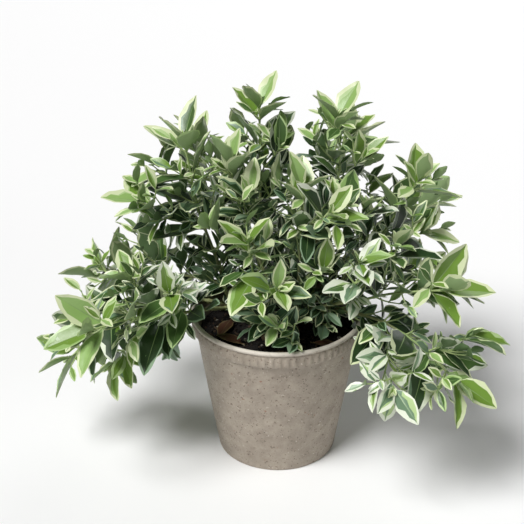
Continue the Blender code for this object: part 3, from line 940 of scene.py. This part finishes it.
YOUNG_FOLD = 0.16
EDGE_WAVE = 0.45 * MM
SIDE_BEND = 0.04
SPLASH_POINT = 0.94
SPLASH_CHANGE = 0.6
BLADE_HALF = 0.17 * MM
RIB_SHARE = 0.04
RIB_SINK = 0.16 * MM
KEEL = 0.28 * MM
SHAPE_TRIES = 7
NEAR_SHARE = 0.55

LEAF_TONES = {
    "leaf_deep": paint(38, 63, 30),
    "leaf_blue": paint(43, 68, 44),
    "leaf_mid": paint(71, 101, 49),
    "leaf_grey": paint(106, 134, 104),
    "leaf_frost": paint(146, 172, 140),
    "leaf_fresh": paint(110, 143, 56),
    "leaf_lime": paint(144, 177, 102),
    "leaf_pale_lime": paint(176, 200, 140),
    "leaf_cream": paint(212, 221, 178),
    "leaf_ivory": paint(224, 230, 210),
    "leaf_rib": paint(134, 158, 104),
    "leaf_under": paint(98, 124, 82),
    "leaf_under_pale": paint(146, 170, 120),
    "leaf_olive": paint(78, 76, 42),
    "leaf_rust": paint(80, 52, 38),
    "leaf_tan": paint(112, 96, 66),
}
TONE_NUMBERS = {name.removeprefix("leaf_"): number for number, name in enumerate(LEAF_TONES)}

# Look: fields, splashes, edges, edge width (mm), chances of a splash and of a tongue, underside
LOOKS = {
    "old": ("deep blue deep", "grey mid", "cream ivory frost", (0.4, 0.9), (0.45, 0.08), "under"),
    "grown": ("mid deep", "grey fresh", "cream ivory", (0.5, 1.2), (0.45, 0.14), "under"),
    "fresh": ("fresh mid", "lime grey", "cream pale_lime", (0.5, 1.2), (0.5, 0.14), "under_pale"),
    "tip": ("lime fresh", "pale_lime lime", "cream", (0.7, 1.6), (0.6, 0.2), "under_pale"),
    "frosted": ("grey mid fresh", "frost pale_lime", "ivory", (0.9, 2.0), (0.9, 0.45), "under_pale"),
    "low": ("grey blue deep", "frost grey", "frost cream", (0.3, 0.7), (0.5, 0.06), "under"),
    "fallen": ("olive rust rust", "rust olive", "tan", (0.3, 0.8), (0.6, 0.3), "rust"),
}


def leaf_solid(root, way, face, length, width, thickness, start_share=0.0):
    """Corners and faces of one plain leaf: a folded blade, widest before its middle."""
    side = face.cross(way).normalized()
    out = side.cross(face).normalized()

    def corner(along, across, lift):
        sag = LEAF_SAG * along * along * length
        fold = LEAF_FOLD * abs(across) * width
        return root + out * (along * length) + side * (across * width) + face * (lift + fold - sag)

    corners = [
        corner(start_share, 0.0, 0.0),
        corner(LEAF_WIDEST, 0.5, 0.0),
        corner(LEAF_WIDEST, -0.5, 0.0),
        corner(1.0, 0.0, 0.0),
        corner(LEAF_THICKEST, 0.0, 0.5 * thickness),
        corner(LEAF_THICKEST, 0.0, -0.5 * thickness),
    ]
    top = [(0, 4, 1), (0, 2, 4), (1, 4, 3), (2, 3, 4)]
    bottom = [(0, 1, 5), (0, 5, 2), (1, 3, 5), (2, 5, 3)]
    return corners, top + bottom


def leaf_envelope(leaf):
    """The leaf with room round it and without its root, for telling whether it is clear."""
    root, way, face, length, width = leaf
    thickness = LEAF_THICKNESS + 2 * CLEARANCE
    wide = width + 2 * CLEARANCE
    return leaf_solid(root, way, face, length + CLEARANCE, wide, thickness, LEAF_CLEAR_SHARE)


def turned_leaf(node, order, turn, attempt, size, young, draw):
    """One try at a leaf on a node, or None where it would point into the light."""
    root, along = node
    across = along.orthogonal().normalized()
    if order > 0:
        across = Matrix.Rotation(0.7, 3, along) @ across
    turn += draw.uniform(-0.35, 0.35)
    turn += 0.3 * attempt * draw.choice((-1, 1))
    spread = math.radians(draw.uniform(58, 84) - 38 * young + 6 * attempt * draw.uniform(-1, 1))
    length = size * draw.uniform(0.84, 1.14) * (1.0 - 0.05 * attempt)
    width = length * LEAF_WIDTH_SHARE * draw.uniform(0.9, 1.1)
    side = Matrix.Rotation(turn, 3, along) @ across
    way = along * math.cos(spread) + side * math.sin(spread)
    way = (way + UP * draw.uniform(-0.12, 0.22)).normalized()
    light = along * (0.5 + 0.5 * young) + UP * 0.7
    face = light - way * light.dot(way)
    return (root, way, face.normalized(), length, width) if face.length >= 0.05 else None


def leaf_room(leaf, name, barriers, taken, pair):
    """The middle of a leaf that is clear of limbs, twigs and the other pairs, or None."""
    root, way, _, length, _ = leaf
    corners, faces = leaf_envelope(leaf)
    rim = corners[1:4] + [corners[side].lerp(corners[3], 0.5) for side in (1, 2)]
    if not space.holds(name, rim):
        return None
    tree = BVHTree.FromPolygons(corners, faces)
    middle = root + way * (0.5 * length)
    if any(tree.overlap(barrier) for barrier in barriers):
        return None
    for spot, reach, rival, rival_pair in taken:
        near = (middle - spot).length < 0.5 * (length + reach) + 2 * MM
        if near and rival_pair != pair and tree.overlap(rival):
            return None
    return middle


def plan_leaves():
    """Opposite pairs of leaves along every twig, each turned until it is clear, or skipped.

    Each leaf comes with its mass, the number of its twig, its order, its rank and its youth.
    """
    barriers = [limb_tree]
    for lines in twigs.values():
        pile = Pile()
        for line in lines:
            last = len(line) - 1
            radii = [TWIG_RADIUS - TWIG_NARROWING * step / last for step in range(last + 1)]
            pile.add(*tube(line, radii, TWIG_SIDES))
        barriers.append(pile.tree())
    leaves = []
    taken = []
    twig_number = -1
    for number, (name, lines) in enumerate(twigs.items()):
        draw = random.Random(300 + number)
        for order, line in enumerate(lines):
            twig_number += 1
            for rank, place in enumerate(node_places(line)):
                share = place / (len(line) - 1)
                young = max(0.0, (share - 0.6) / 0.4)
                size = LEAF_LENGTH * MASSES[name][-1] * (1.0 if order == 0 else 0.82)
                size *= 1.0 - 0.3 * young ** 2
                if order == 0 and rank < len(LOW_LEAF_SIZES):
                    size *= LOW_LEAF_SIZES[rank]
                node = at_share(line, share)
                pair = (twig_number, rank)
                for flank in (0.0, 0.5):
                    turn = math.tau * (0.25 * rank + flank)
                    for attempt in range(LEAF_TRIES):
                        leaf = turned_leaf(node, order, turn, attempt, size, young, draw)
                        middle = leaf and leaf_room(leaf, name, barriers, taken, pair)
                        if middle is None:
                            continue
                        solid = leaf_solid(*leaf, LEAF_THICKNESS, LEAF_SOCKET_SHARE)
                        taken.append((middle, leaf[3], BVHTree.FromPolygons(*solid), pair))
                        leaves.append((leaf, name, twig_number, order, rank, young))
                        break
    return leaves


def outline(share):
    """Half a blade's width at a share of its length, as a share of its widest."""
    return max(math.sin(math.pi * share ** OUTLINE_POWER), 0.0) ** OUTLINE_ROUND


def blade_rows(length):
    """How many rows of faces a leaf has along its blade, and how many zones in each half."""
    for least, rows, zones in ((20 * MM, 8, 3), (14 * MM, 6, 3), (9 * MM, 6, 2)):
        if length > least:
            return rows, zones
    return 4, 2


def blade_rings(rows, half, length, size):
    """The rings of corners round a leaf, from its stalk to its last row.

    Each ring slants forward to the rim as the side veins do. It has its place along the leaf,
    its slant, its share of the blade, its half width and thickness, and the rise of its veins.
    """
    blade = 1.0 - PETIOLE_SHARE
    slant = VEIN_SLANT * half / (blade * length)
    rings = [
        (-LEAF_SUNK / length, 0.0, 0.0, PETIOLE_RADIUS, PETIOLE_RADIUS, 0.0),
        (0.85 * PETIOLE_SHARE, 0.0, 0.0, 0.85 * PETIOLE_RADIUS, 0.75 * PETIOLE_RADIUS, 0.0),
    ]
    for row in range(1, rows):
        share = row / rows - ROW_EASE * math.sin(math.tau * row / rows) / math.tau
        forward = slant * outline(share)
        swing = 1.0 if row % 2 else -1.0
        reach = half * outline(share + forward) * (1.0 + TOOTH * swing)
        thick = BLADE_HALF * (1.0 - 0.45 * share)
        along = PETIOLE_SHARE + blade * share
        rings.append((along, blade * forward, share, reach, thick, VEIN_RELIEF * size * swing))
    return rings


def half_marks(rings, zones, tones, edge_width, tongue_chance, field_reach, draw):
    """Where the zones of one half of a blade meet at each ring, as shares of its half width.

    The edge now and then runs inward in a tongue along a side vein, and a splash of another
    tone begins and ends in a point.
    """
    width = edge_width
    marks = []
    for number, (_, _, _, reach, _, _) in enumerate(rings):
        width *= draw.uniform(0.8, 1.25)
        width = min(max(width, 0.6 * edge_width), 1.6 * edge_width)
        edge = min(max(1.0 - width / reach, 0.3), 0.95)
        if draw.random() < tongue_chance:
            edge *= draw.uniform(0.5, 0.8)
        same = tones[max(number - 1, 0)][1] == tones[number][1]
        outer = edge * (draw.uniform(*field_reach) if same else SPLASH_POINT)
        marks.append((edge, outer)[: zones - 1])
    return marks


def half_tones(rows, zones, field, splashes, edge, splash_chance, draw):
    """The tones of one half of a blade in each row, from its rim to its midrib."""
    if zones == 2:
        plain = draw.choice(splashes) if draw.random() < 0.5 * splash_chance else field
        return [[edge, plain]] * rows
    outer = field
    run = 0
    tones = []
    for _ in range(rows):
        run += 1
        if run > 2 and draw.random() < SPLASH_CHANGE:
            outer = draw.choice(splashes) if draw.random() < splash_chance else field
            run = 0
        tones.append([edge, outer, field])
    return tones


def leaf_shape(leaf, look, young, draw):
    """Corners, faces and tones of one finished leaf: stalk, midrib, field, splashes and edge.

    Each ring of corners runs across the top from rim to rim and back under the blade.
    """
    root, way, face, length, width = leaf
    side = face.cross(way).normalized()
    out = side.cross(face).normalized()
    fields, splashes, edges, edge_widths, (splash_chance, tongue_chance), under = LOOKS[look]
    rib_tone = "tan" if look == "fallen" else "rib"
    field = draw.choice(fields.split())
    splashes = [draw.choice(splashes.split()) for _ in range(2)]
    edge_tone = draw.choice(edges.split())
    field_reach = FROSTED_FIELD if look == "frosted" else PLAIN_FIELD
    rows, zones = blade_rows(length)
    size = length / LEAF_LENGTH
    fold = LEAF_FOLD + YOUNG_FOLD * young + draw.uniform(-0.08, 0.1)
    sag = LEAF_SAG * (1.0 - 0.5 * young) * draw.uniform(0.6, 1.4)
    wave = EDGE_WAVE * size * draw.uniform(0.3, 1.3)
    phases = (draw.uniform(0, math.tau), draw.uniform(0, math.tau))
    bend = SIDE_BEND * length * draw.uniform(-1, 1)
    twist = draw.uniform(-BLADE_TWIST, BLADE_TWIST)
    rings = blade_rings(rows, 0.5 * BLADE_SLIM * width, length, size)
    edge_width = draw.uniform(*edge_widths) * MM * (0.45 + 0.55 * size)
    halves = []
    for _ in range(2):
        tones = half_tones(len(rings), zones, field, splashes, edge_tone, splash_chance, draw)
        marks = half_marks(rings, zones, tones, edge_width, tongue_chance, field_reach, draw)
        halves.append((tones, marks))
    (left_tones, left_marks), (right_tones, right_marks) = halves
    under_tones = [edge_tone, under, under, edge_tone] if zones == 3 else [under, under]
    corners = []
    for ring, left, right in zip(rings, left_marks, right_marks):
        along, forward, share, reach, thick, relief = ring
        rib = RIB_SHARE * (1.2 - share)
        across_top = [-1.0] + [-mark for mark in left] + [-rib, rib] + list(right[::-1]) + [1.0]
        across_under = [right[0], 0.0, -left[0]] if zones == 3 else [0.0]
        keel = len(across_top) + len(across_under) // 2
        for index, across in enumerate(across_top + across_under):
            lens = thick * math.sqrt(max(1.0 - across * across, 0.0))
            level = relief * (0.25 if abs(across) > 0.99 else 1.0)
            if index in (zones, zones + 1):
                level = -RIB_SINK * size * (1.0 - share) if share else 0.0
            if index == keel:
                level = -KEEL * size * (1.0 - share) if share else 0.0
            level += lens if index < len(across_top) else -lens
            ripple = wave * across * across * math.sin(phases[across > 0] + 11.0 * share)
            place = along + forward * abs(across)
            lift = level + ripple * (share > 0) + fold * reach * abs(across)
            lift += twist * place * reach * across - sag * place * place * length
            aside = reach * across + bend * place * place
            corners.append(root + out * (place * length) + side * aside + face * lift)
    corners.append(root + out * length + side * bend - face * (sag * length))
    ring_size = len(across_top) + len(across_under)
    faces = [tuple(range(ring_size))]
    tones = [rib_tone] * (1 + ring_size)
    for number, (left, right) in enumerate(zip(left_tones, right_tones)):
        low = number * ring_size
        high = low + ring_size
        for index in range(ring_size):
            other = (index + 1) % ring_size
            if number == len(rings) - 1:
                faces.append((low + index, len(corners) - 1, low + other))
            else:
                faces.append((low + index, high + index, high + other, low + other))
        if number:
            tones += left + [rib_tone] + right[::-1] + under_tones
    return corners, faces, tones


FROSTED_SPRAYS = {
    ("leaves_left_front", 1),
    ("leaves_right_front", 2),
    ("leaves_middle_right", 1),
    ("leaves_back_low", 1),
    ("leaves_back_right", 2),
    ("leaves_left_upright", 2),
}
FRESHNESS = {"leaves_front": 1.0, "leaves_middle": 0.95, "leaves_left_trailing": 0.3}


def leaf_look(name, order, rank, young, draw):
    """Which look a leaf has, by its age, its place on the twig and the sport of its spray."""
    if name.startswith("leaves_low") or (order == 0 and rank == 0):
        return "low"
    if (name, order) in FROSTED_SPRAYS:
        return "frosted" if draw.random() < 0.8 else "fresh"
    if young > 0.45:
        return "tip" if draw.random() < FRESHNESS.get(name, 0.6) else "fresh"
    if young > 0.0:
        return draw.choices(("fresh", "grown"), (0.5, 0.5))[0]
    return draw.choices(("old", "grown", "frosted"), (0.58, 0.38, 0.04))[0]


leaf_draw = random.Random(700)
settled = []


def settle(leaf, look, young, home, pile):
    """Shapes a leaf so that it stays clear of its neighbours, and adds it to a piece's pile."""
    root, way, face, length, width = leaf
    middle = root + way * (0.5 * length)
    node = (home, tuple(root))
    near = [
        tree
        for spot, reach, tree, rival_node in settled
        if rival_node != node and (spot - middle).length < NEAR_SHARE * (length + reach)
    ]
    for attempt in range(SHAPE_TRIES):
        shrink = 1.0 - 0.035 * attempt
        tried = (root, way, face, length * shrink, width * shrink)
        corners, faces, tones = leaf_shape(tried, look, young, leaf_draw)
        tree = BVHTree.FromPolygons(corners, faces)
        if not any(tree.overlap(rival) for rival in near):
            break
    settled.append((middle, length, tree, node))
    pile.add(corners, faces, [TONE_NUMBERS[tone] for tone in tones])


leaf_pile = Pile()
for leaf, name, twig_number, order, rank, young in plan_leaves():
    look = leaf_look(name, order, rank, young, leaf_draw)
    settle(leaf, look, young, twig_number, leaf_pile)
leaf_materials = finishes(LEAF_TONES, 0.34, (1500.0, 0.3, 0.06 * MM))


def leafy_piece(name, pile):
    """A piece of joined leaves that stands for the masses."""
    piece = pile.piece(name, leaf_materials, 65)
    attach(piece, "root")
    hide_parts(*MASSES)


leafy_piece("grown_leaves", leaf_pile)

# The young shoots
# From the axils, and from old nodes on the limbs, grow short shoots with two pairs of small
# leaves. Every twig ends in two tiny pairs folded round a bud, lime green and cream.

SHOOT_RADIUS = 0.42 * MM
SHOOT_REACH = (5 * MM, 15 * MM)
SHOOT_PAIRS = (0.55, 0.98)
SHOOT_TRIES = 9
LIMB_NODES = (0.35, 0.55, 0.75, 0.92)
NODE_SHOOTS = 4
BARE_LIMBS = ("stem_left", "bough_left_front")
BARE_SHARE = {"leaves_left_trailing": 0.35, "leaves_left_front": 0.2}
SMALL_LEAF = (8 * MM, 17 * MM)
TIP_PAIRS = ((10.5 * MM, 20.0), (6.0 * MM, 9.0))
BUD_LENGTH = 3.2 * MM
BUD_RADIUS = 0.62 * MM
BUD_PROFILE = ((-0.1, 0.6), (0.15, 0.95), (0.45, 1.0), (0.75, 0.55), (1.0, 0.08))

pot_tree = pot_sheet().tree()
shoot_draw = random.Random(800)
shoot_pile = Pile()
tip_pile = Pile()
bud_pile = Pile()
shoots = []
stalks = []


def meets(tree, middle, length, rivals):
    """True where a shape overlaps one of the others that lie near it."""
    return any(
        (spot - middle).length < NEAR_SHARE * (length + reach) and tree.overlap(rival)
        for spot, reach, rival, *_ in rivals
    )


def clear_leaf(name, leaf):
    """True where a small leaf has room among limbs, twigs and leaves, in its mass's own space."""
    root, way, _, length, _ = leaf
    corners, faces = leaf_envelope(leaf)
    if name and not space.holds(name, corners[1:4]):
        return False
    tree = BVHTree.FromPolygons(corners, faces)
    if tree.overlap(limb_tree) or any(tree.overlap(rival) for rival in twig_trees):
        return False
    return not meets(tree, root + way * (0.5 * length), length, settled + stalks)


def clear_stalk(points, length):
    """The tree of a shoot's stalk where it misses the pot and, past its foot, every leaf."""
    whole = BVHTree.FromPolygons(*tube(points, [2 * SHOOT_RADIUS] * 3, TWIG_SIDES))
    if whole.overlap(pot_tree):
        return None
    past_foot = [points[0].lerp(points[1], 0.4), *points[1:]]
    upper = BVHTree.FromPolygons(*tube(past_foot, [SHOOT_RADIUS] * 3, TWIG_SIDES))
    return None if meets(upper, points[1], length, settled) else upper


def small_pair(root, along, turn, length, spread):
    """Two opposite small leaves at a node."""
    pair = []
    across = along.orthogonal().normalized()
    for flank in (0.0, math.pi):
        side = Matrix.Rotation(turn + flank, 3, along) @ across
        way = (along * math.cos(spread) + side * math.sin(spread)).normalized()
        light = along * 0.8 + UP * 0.5
        face = light - way * light.dot(way)
        if face.length < 0.05:
            face = way.orthogonal()
        size = length * shoot_draw.uniform(0.88, 1.12)
        width = size * LEAF_WIDTH_SHARE * shoot_draw.uniform(0.85, 1.0)
        pair.append((root, way, face.normalized(), size, width))
    return pair


def dress_tip(line, twig_number):
    """Two tiny pairs and a bud at the end of a twig."""
    along = (line[-1] - line[-2]).normalized()
    for rank, (length, spread) in enumerate(TIP_PAIRS):
        turn = math.tau * 0.25 * (rank + 1) + shoot_draw.uniform(-0.3, 0.3)
        root = line[-1] - along * ((1.2 - rank) * MM)
        wide = math.radians(spread + shoot_draw.uniform(0, 12))
        for leaf in small_pair(root, along, turn, length, wide):
            settle(leaf, "tip", 1.0, twig_number, tip_pile)
    bud_line = [line[-1] + along * (BUD_LENGTH * share) for share, _ in BUD_PROFILE]
    bud_pile.add(*tube(bud_line, [BUD_RADIUS * share for _, share in BUD_PROFILE], 6))


def grow_shoot(name, root, along, looks):
    """A short shoot with up to four small leaves from a node, where there is room for it."""
    for _ in range(SHOOT_TRIES):
        turn = shoot_draw.uniform(0, math.tau)
        reach = shoot_draw.uniform(*SHOOT_REACH)
        side = Matrix.Rotation(turn, 3, along) @ along.orthogonal().normalized()
        way = (side + along * shoot_draw.uniform(0.4, 1.0) + UP * 0.25).normalized()
        points = [root, root + way * (0.5 * reach)]
        points.append(points[-1] + (way + UP * 0.3).normalized() * (0.5 * reach))
        stalk = clear_stalk(points, reach)
        if not stalk:
            continue
        found = []
        for rank, place in enumerate(SHOOT_PAIRS):
            spot, shoot_way = at_share(points, place)
            length = shoot_draw.uniform(*SMALL_LEAF) * (1.0 - 0.15 * rank)
            spread = math.radians(shoot_draw.uniform(46, 66) - 16 * rank)
            pair = small_pair(spot, shoot_way, 1.57 * rank, length, spread)
            found += [leaf for leaf in pair if clear_leaf(name, leaf)]
        if len(found) > 1:
            shoots.append(points)
            stalks.append((points[1], reach, stalk))
            for leaf in found:
                settle(leaf, shoot_draw.choice(looks), 0.5, -len(shoots), shoot_pile)
            return


def shoot_looks(name, order, share):
    """The looks that a shoot's leaves may have, by its height on its twig."""
    if (name, order) in FROSTED_SPRAYS:
        return ("frosted",)
    if share < 0.4:
        return ("low", "old", "grown")
    if share < 0.7:
        return ("low", "grown", "fresh")
    return ("fresh", "tip")


for twig_number, line in enumerate(line for lines in twigs.values() for line in lines):
    dress_tip(line, twig_number)
for name, lines in twigs.items():
    for order, line in enumerate(lines):
        for place in node_places(line)[:-1]:
            share = place / (len(line) - 1)
            if order == 0 and share < BARE_SHARE.get(name, 0.0):
                continue
            root, along = at_share(line, share)
            for _ in range(NODE_SHOOTS):
                grow_shoot(name, root, along, shoot_looks(name, order, share))
for name, (points, _) in limbs.items():
    if name in BARE_LIMBS:
        continue
    for share in LIMB_NODES:
        root, along = at_share(points, share)
        for _ in range(NODE_SHOOTS):
            grow_shoot(None, root, along, ("low", "old", "low"))
leafy_piece("shoot_leaves", shoot_pile)
leafy_piece("tip_leaves", tip_pile)
for points in shoots:
    line, _ = smooth_line(points, 4)
    radii = [SHOOT_RADIUS * (1.1 - 0.4 * step / (len(line) - 1)) for step in range(len(line))]
    twig_pile.add(*tube(line, radii, 6), 2)
all_twigs = twig_pile.piece("twigs", twig_materials)
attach(all_twigs, "root")
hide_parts(*MASSES)
bud_materials = finishes({"bud_scales": paint(156, 168, 108)}, 0.5, (2500.0, 0.2, 0.05 * MM))
buds = bud_pile.piece("buds", bud_materials)
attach(buds, "root")
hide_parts(*MASSES)

# What lies on the soil
# Loose crumbs of peat, chips of bark, root fibres and a little grit lie between the stems.
# They are dark brown, with a few paler ones, and rest on the soil's top.

CRUMBS = 950
CHIPS = 90
CHIP_SHAPE = (1.5, 0.55, 0.28)
FIBRES = 60
FIBRE_STEPS = 5
FIBRE_STEP = 1.3 * MM
FALLEN_LENGTH = (13 * MM, 19 * MM)
FALLEN_PITCH = 8
FALLEN_LIFT = 1.3 * MM

# Where fallen leaves lie: x and y (mm), heading (degrees)
FALLEN = (
    (17, -17, -20),
    (25, -9, 70),
    (8, -26, 215),
    (30, 4, 130),
    (-17, -19, 150),
    (-24, 6, 250),
    (-2, 30, 20),
    (22, 22, 100),
)


def soil_height(x, y):
    """The height of the soil's top under a place."""
    found, place, *_ = soil.ray_cast(Vector((x, y, POT_HEIGHT)), -UP)
    return place.z if found else soil_edge


def crumb_spot(draw, reach):
    """A random place on the soil's top."""
    radius = reach * math.sqrt(draw.random())
    spot = on_round(radius, draw.uniform(0, math.tau), 0.0)
    spot.z = soil_height(spot.x, spot.y)
    return spot


def lump(draw, place, sizes):
    """Corners and faces of one crumb: a ball of few faces, pulled out of true."""
    work = bmesh.new()
    bmesh.ops.create_icosphere(work, subdivisions=1, radius=1.0)
    turn = Matrix.Rotation(draw.uniform(0, math.tau), 3, "Z")
    turn = turn @ Matrix.Rotation(draw.uniform(-0.5, 0.5), 3, "X")
    corners = []
    for corner in work.verts:
        pulled = corner.co * draw.uniform(0.72, 1.2)
        stretched = Vector([value * size for value, size in zip(pulled, sizes)])
        corners.append(place + turn @ stretched)
    work.verts.index_update()
    faces = [tuple(corner.index for corner in face.verts) for face in work.faces]
    work.free()
    return corners, faces


litter_draw = random.Random(41)
litter_reach = soil_radius - 1.5 * MM
litter_pile = Pile()
for _ in range(CRUMBS):
    size = litter_draw.uniform(0.35, 1.25) ** 1.4 * MM
    place = crumb_spot(litter_draw, litter_reach) + UP * (0.25 * size)
    sizes = [size * litter_draw.uniform(0.7, 1.25) for _ in range(3)]
    shape = lump(litter_draw, place, sizes)
    litter_pile.add(*shape, litter_draw.choices((0, 1, 2, 3), (60, 27, 10, 3))[0])
for _ in range(CHIPS):
    size = litter_draw.uniform(0.9, 2.4) * MM
    place = crumb_spot(litter_draw, litter_reach - 2 * MM) + UP * (0.4 * MM)
    shape = lump(litter_draw, place, [share * size for share in CHIP_SHAPE])
    litter_pile.add(*shape, litter_draw.choice((1, 2)))
for _ in range(FIBRES):
    line = [crumb_spot(litter_draw, litter_reach - 5 * MM) + UP * (0.25 * MM)]
    heading = litter_draw.uniform(0, 360)
    for _ in range(FIBRE_STEPS):
        heading += litter_draw.uniform(-40, 40)
        line.append(line[-1] + aim(heading, litter_draw.uniform(-9, 12)) * FIBRE_STEP)
    thin = litter_draw.uniform(0.1, 0.2) * MM
    litter_pile.add(*tube(line, [thin] * len(line), 4), litter_draw.choice((1, 2)))
litter_colours = {
    "crumb_black": paint(23, 19, 16),
    "crumb_brown": paint(44, 35, 27),
    "crumb_bark": paint(74, 57, 42),
    "crumb_grit": paint(160, 154, 142),
}
litter_materials = finishes(litter_colours, 0.9, (2500.0, 0.2, 0.25 * MM))
litter = litter_pile.piece("soil_litter", litter_materials, 70)
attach(litter, "root")

fallen_pile = Pile()
for x, y, heading in FALLEN:
    place = Vector((x * MM, y * MM, soil_height(x * MM, y * MM) + FALLEN_LIFT))
    way = aim(heading, FALLEN_PITCH)
    face = (UP - way * way.z).normalized()
    length = litter_draw.uniform(*FALLEN_LENGTH)
    leaf = (place, way, face, length, length * LEAF_WIDTH_SHARE)
    settle(leaf, "fallen", 0.0, (x, y), fallen_pile)
fallen = fallen_pile.piece("fallen_leaves", leaf_materials, 65)
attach(fallen, "root")

# The view
# The plant stands on a pale floor in soft studio light, seen from the front and from above, at
# the angle from which the photograph was taken.

CAMERA_ELEVATION = 27.5
CAMERA_LENS = 85
CAMERA_DISTANCE = 0.65
SUN_PLACE = Vector((-1.0, -0.9, 2.0))
SUN_POWER = 3.4
SUN_WIDTH = 28.0
AMBIENT = 0.06

low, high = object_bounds()
middle = (low + high) / 2
bpy.ops.mesh.primitive_plane_add(size=8.0, location=(0, 0, 0))
floor = bpy.context.object
floor.name = "floor"
floor_material, _ = new_material("pale_floor", (0.92, 0.92, 0.92), 0.8)
floor.data.materials.append(floor_material)
floor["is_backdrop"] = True


def place_in_scene(name, data, place, target):
    """Puts a camera or a light at a place, turned towards a target."""
    thing = bpy.data.objects.new(name, data)
    thing.location = place
    thing.rotation_euler = (target - place).to_track_quat("-Z", "Y").to_euler()
    bpy.context.scene.collection.objects.link(thing)
    return thing


elevation = math.radians(CAMERA_ELEVATION)
back = Vector((0.0, -math.cos(elevation), math.sin(elevation)))
camera_data = bpy.data.cameras.new("camera")
camera_data.lens = CAMERA_LENS
camera_data.clip_start = 0.01
camera = place_in_scene("camera", camera_data, back, Vector())
camera.location = middle + back * CAMERA_DISTANCE
bpy.context.scene.camera = camera
sun_data = bpy.data.lights.new("soft_key", "SUN")
sun_data.energy = SUN_POWER
sun_data.angle = math.radians(SUN_WIDTH)
place_in_scene("soft_key", sun_data, SUN_PLACE, Vector())

# Name: place and size (m), power (W)
SOFTBOXES = {
    "fill_light": ((1.6, -1.4, 0.9), 1.0, 5.0),
    "back_light": ((0.6, 1.8, 1.6), 0.9, 8.0),
}
for name, (place, size, power) in SOFTBOXES.items():
    light_data = bpy.data.lights.new(name, "AREA")
    light_data.size = size
    light_data.energy = power
    place_in_scene(name, light_data, Vector(place), middle)
world = bpy.data.worlds.new("studio")
world.use_nodes = True
sky = world.node_tree.nodes["Background"]
sky.inputs["Color"].default_value = (1.0, 1.0, 1.0, 1.0)
seen = add_node(world.node_tree, "ShaderNodeLightPath").outputs["Is Camera Ray"]
strength = mapped(world.node_tree, seen, 0.0, 1.0, AMBIENT, 1.0)
world.node_tree.links.new(strength, sky.inputs["Strength"])
bpy.context.scene.world = world
bpy.context.scene.view_settings.view_transform = "Standard"

visual_low, visual_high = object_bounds()
sizes = {
    "cad": [list(cad_low), list(cad_high)],
    "visual": [list(visual_low), list(visual_high)],
}
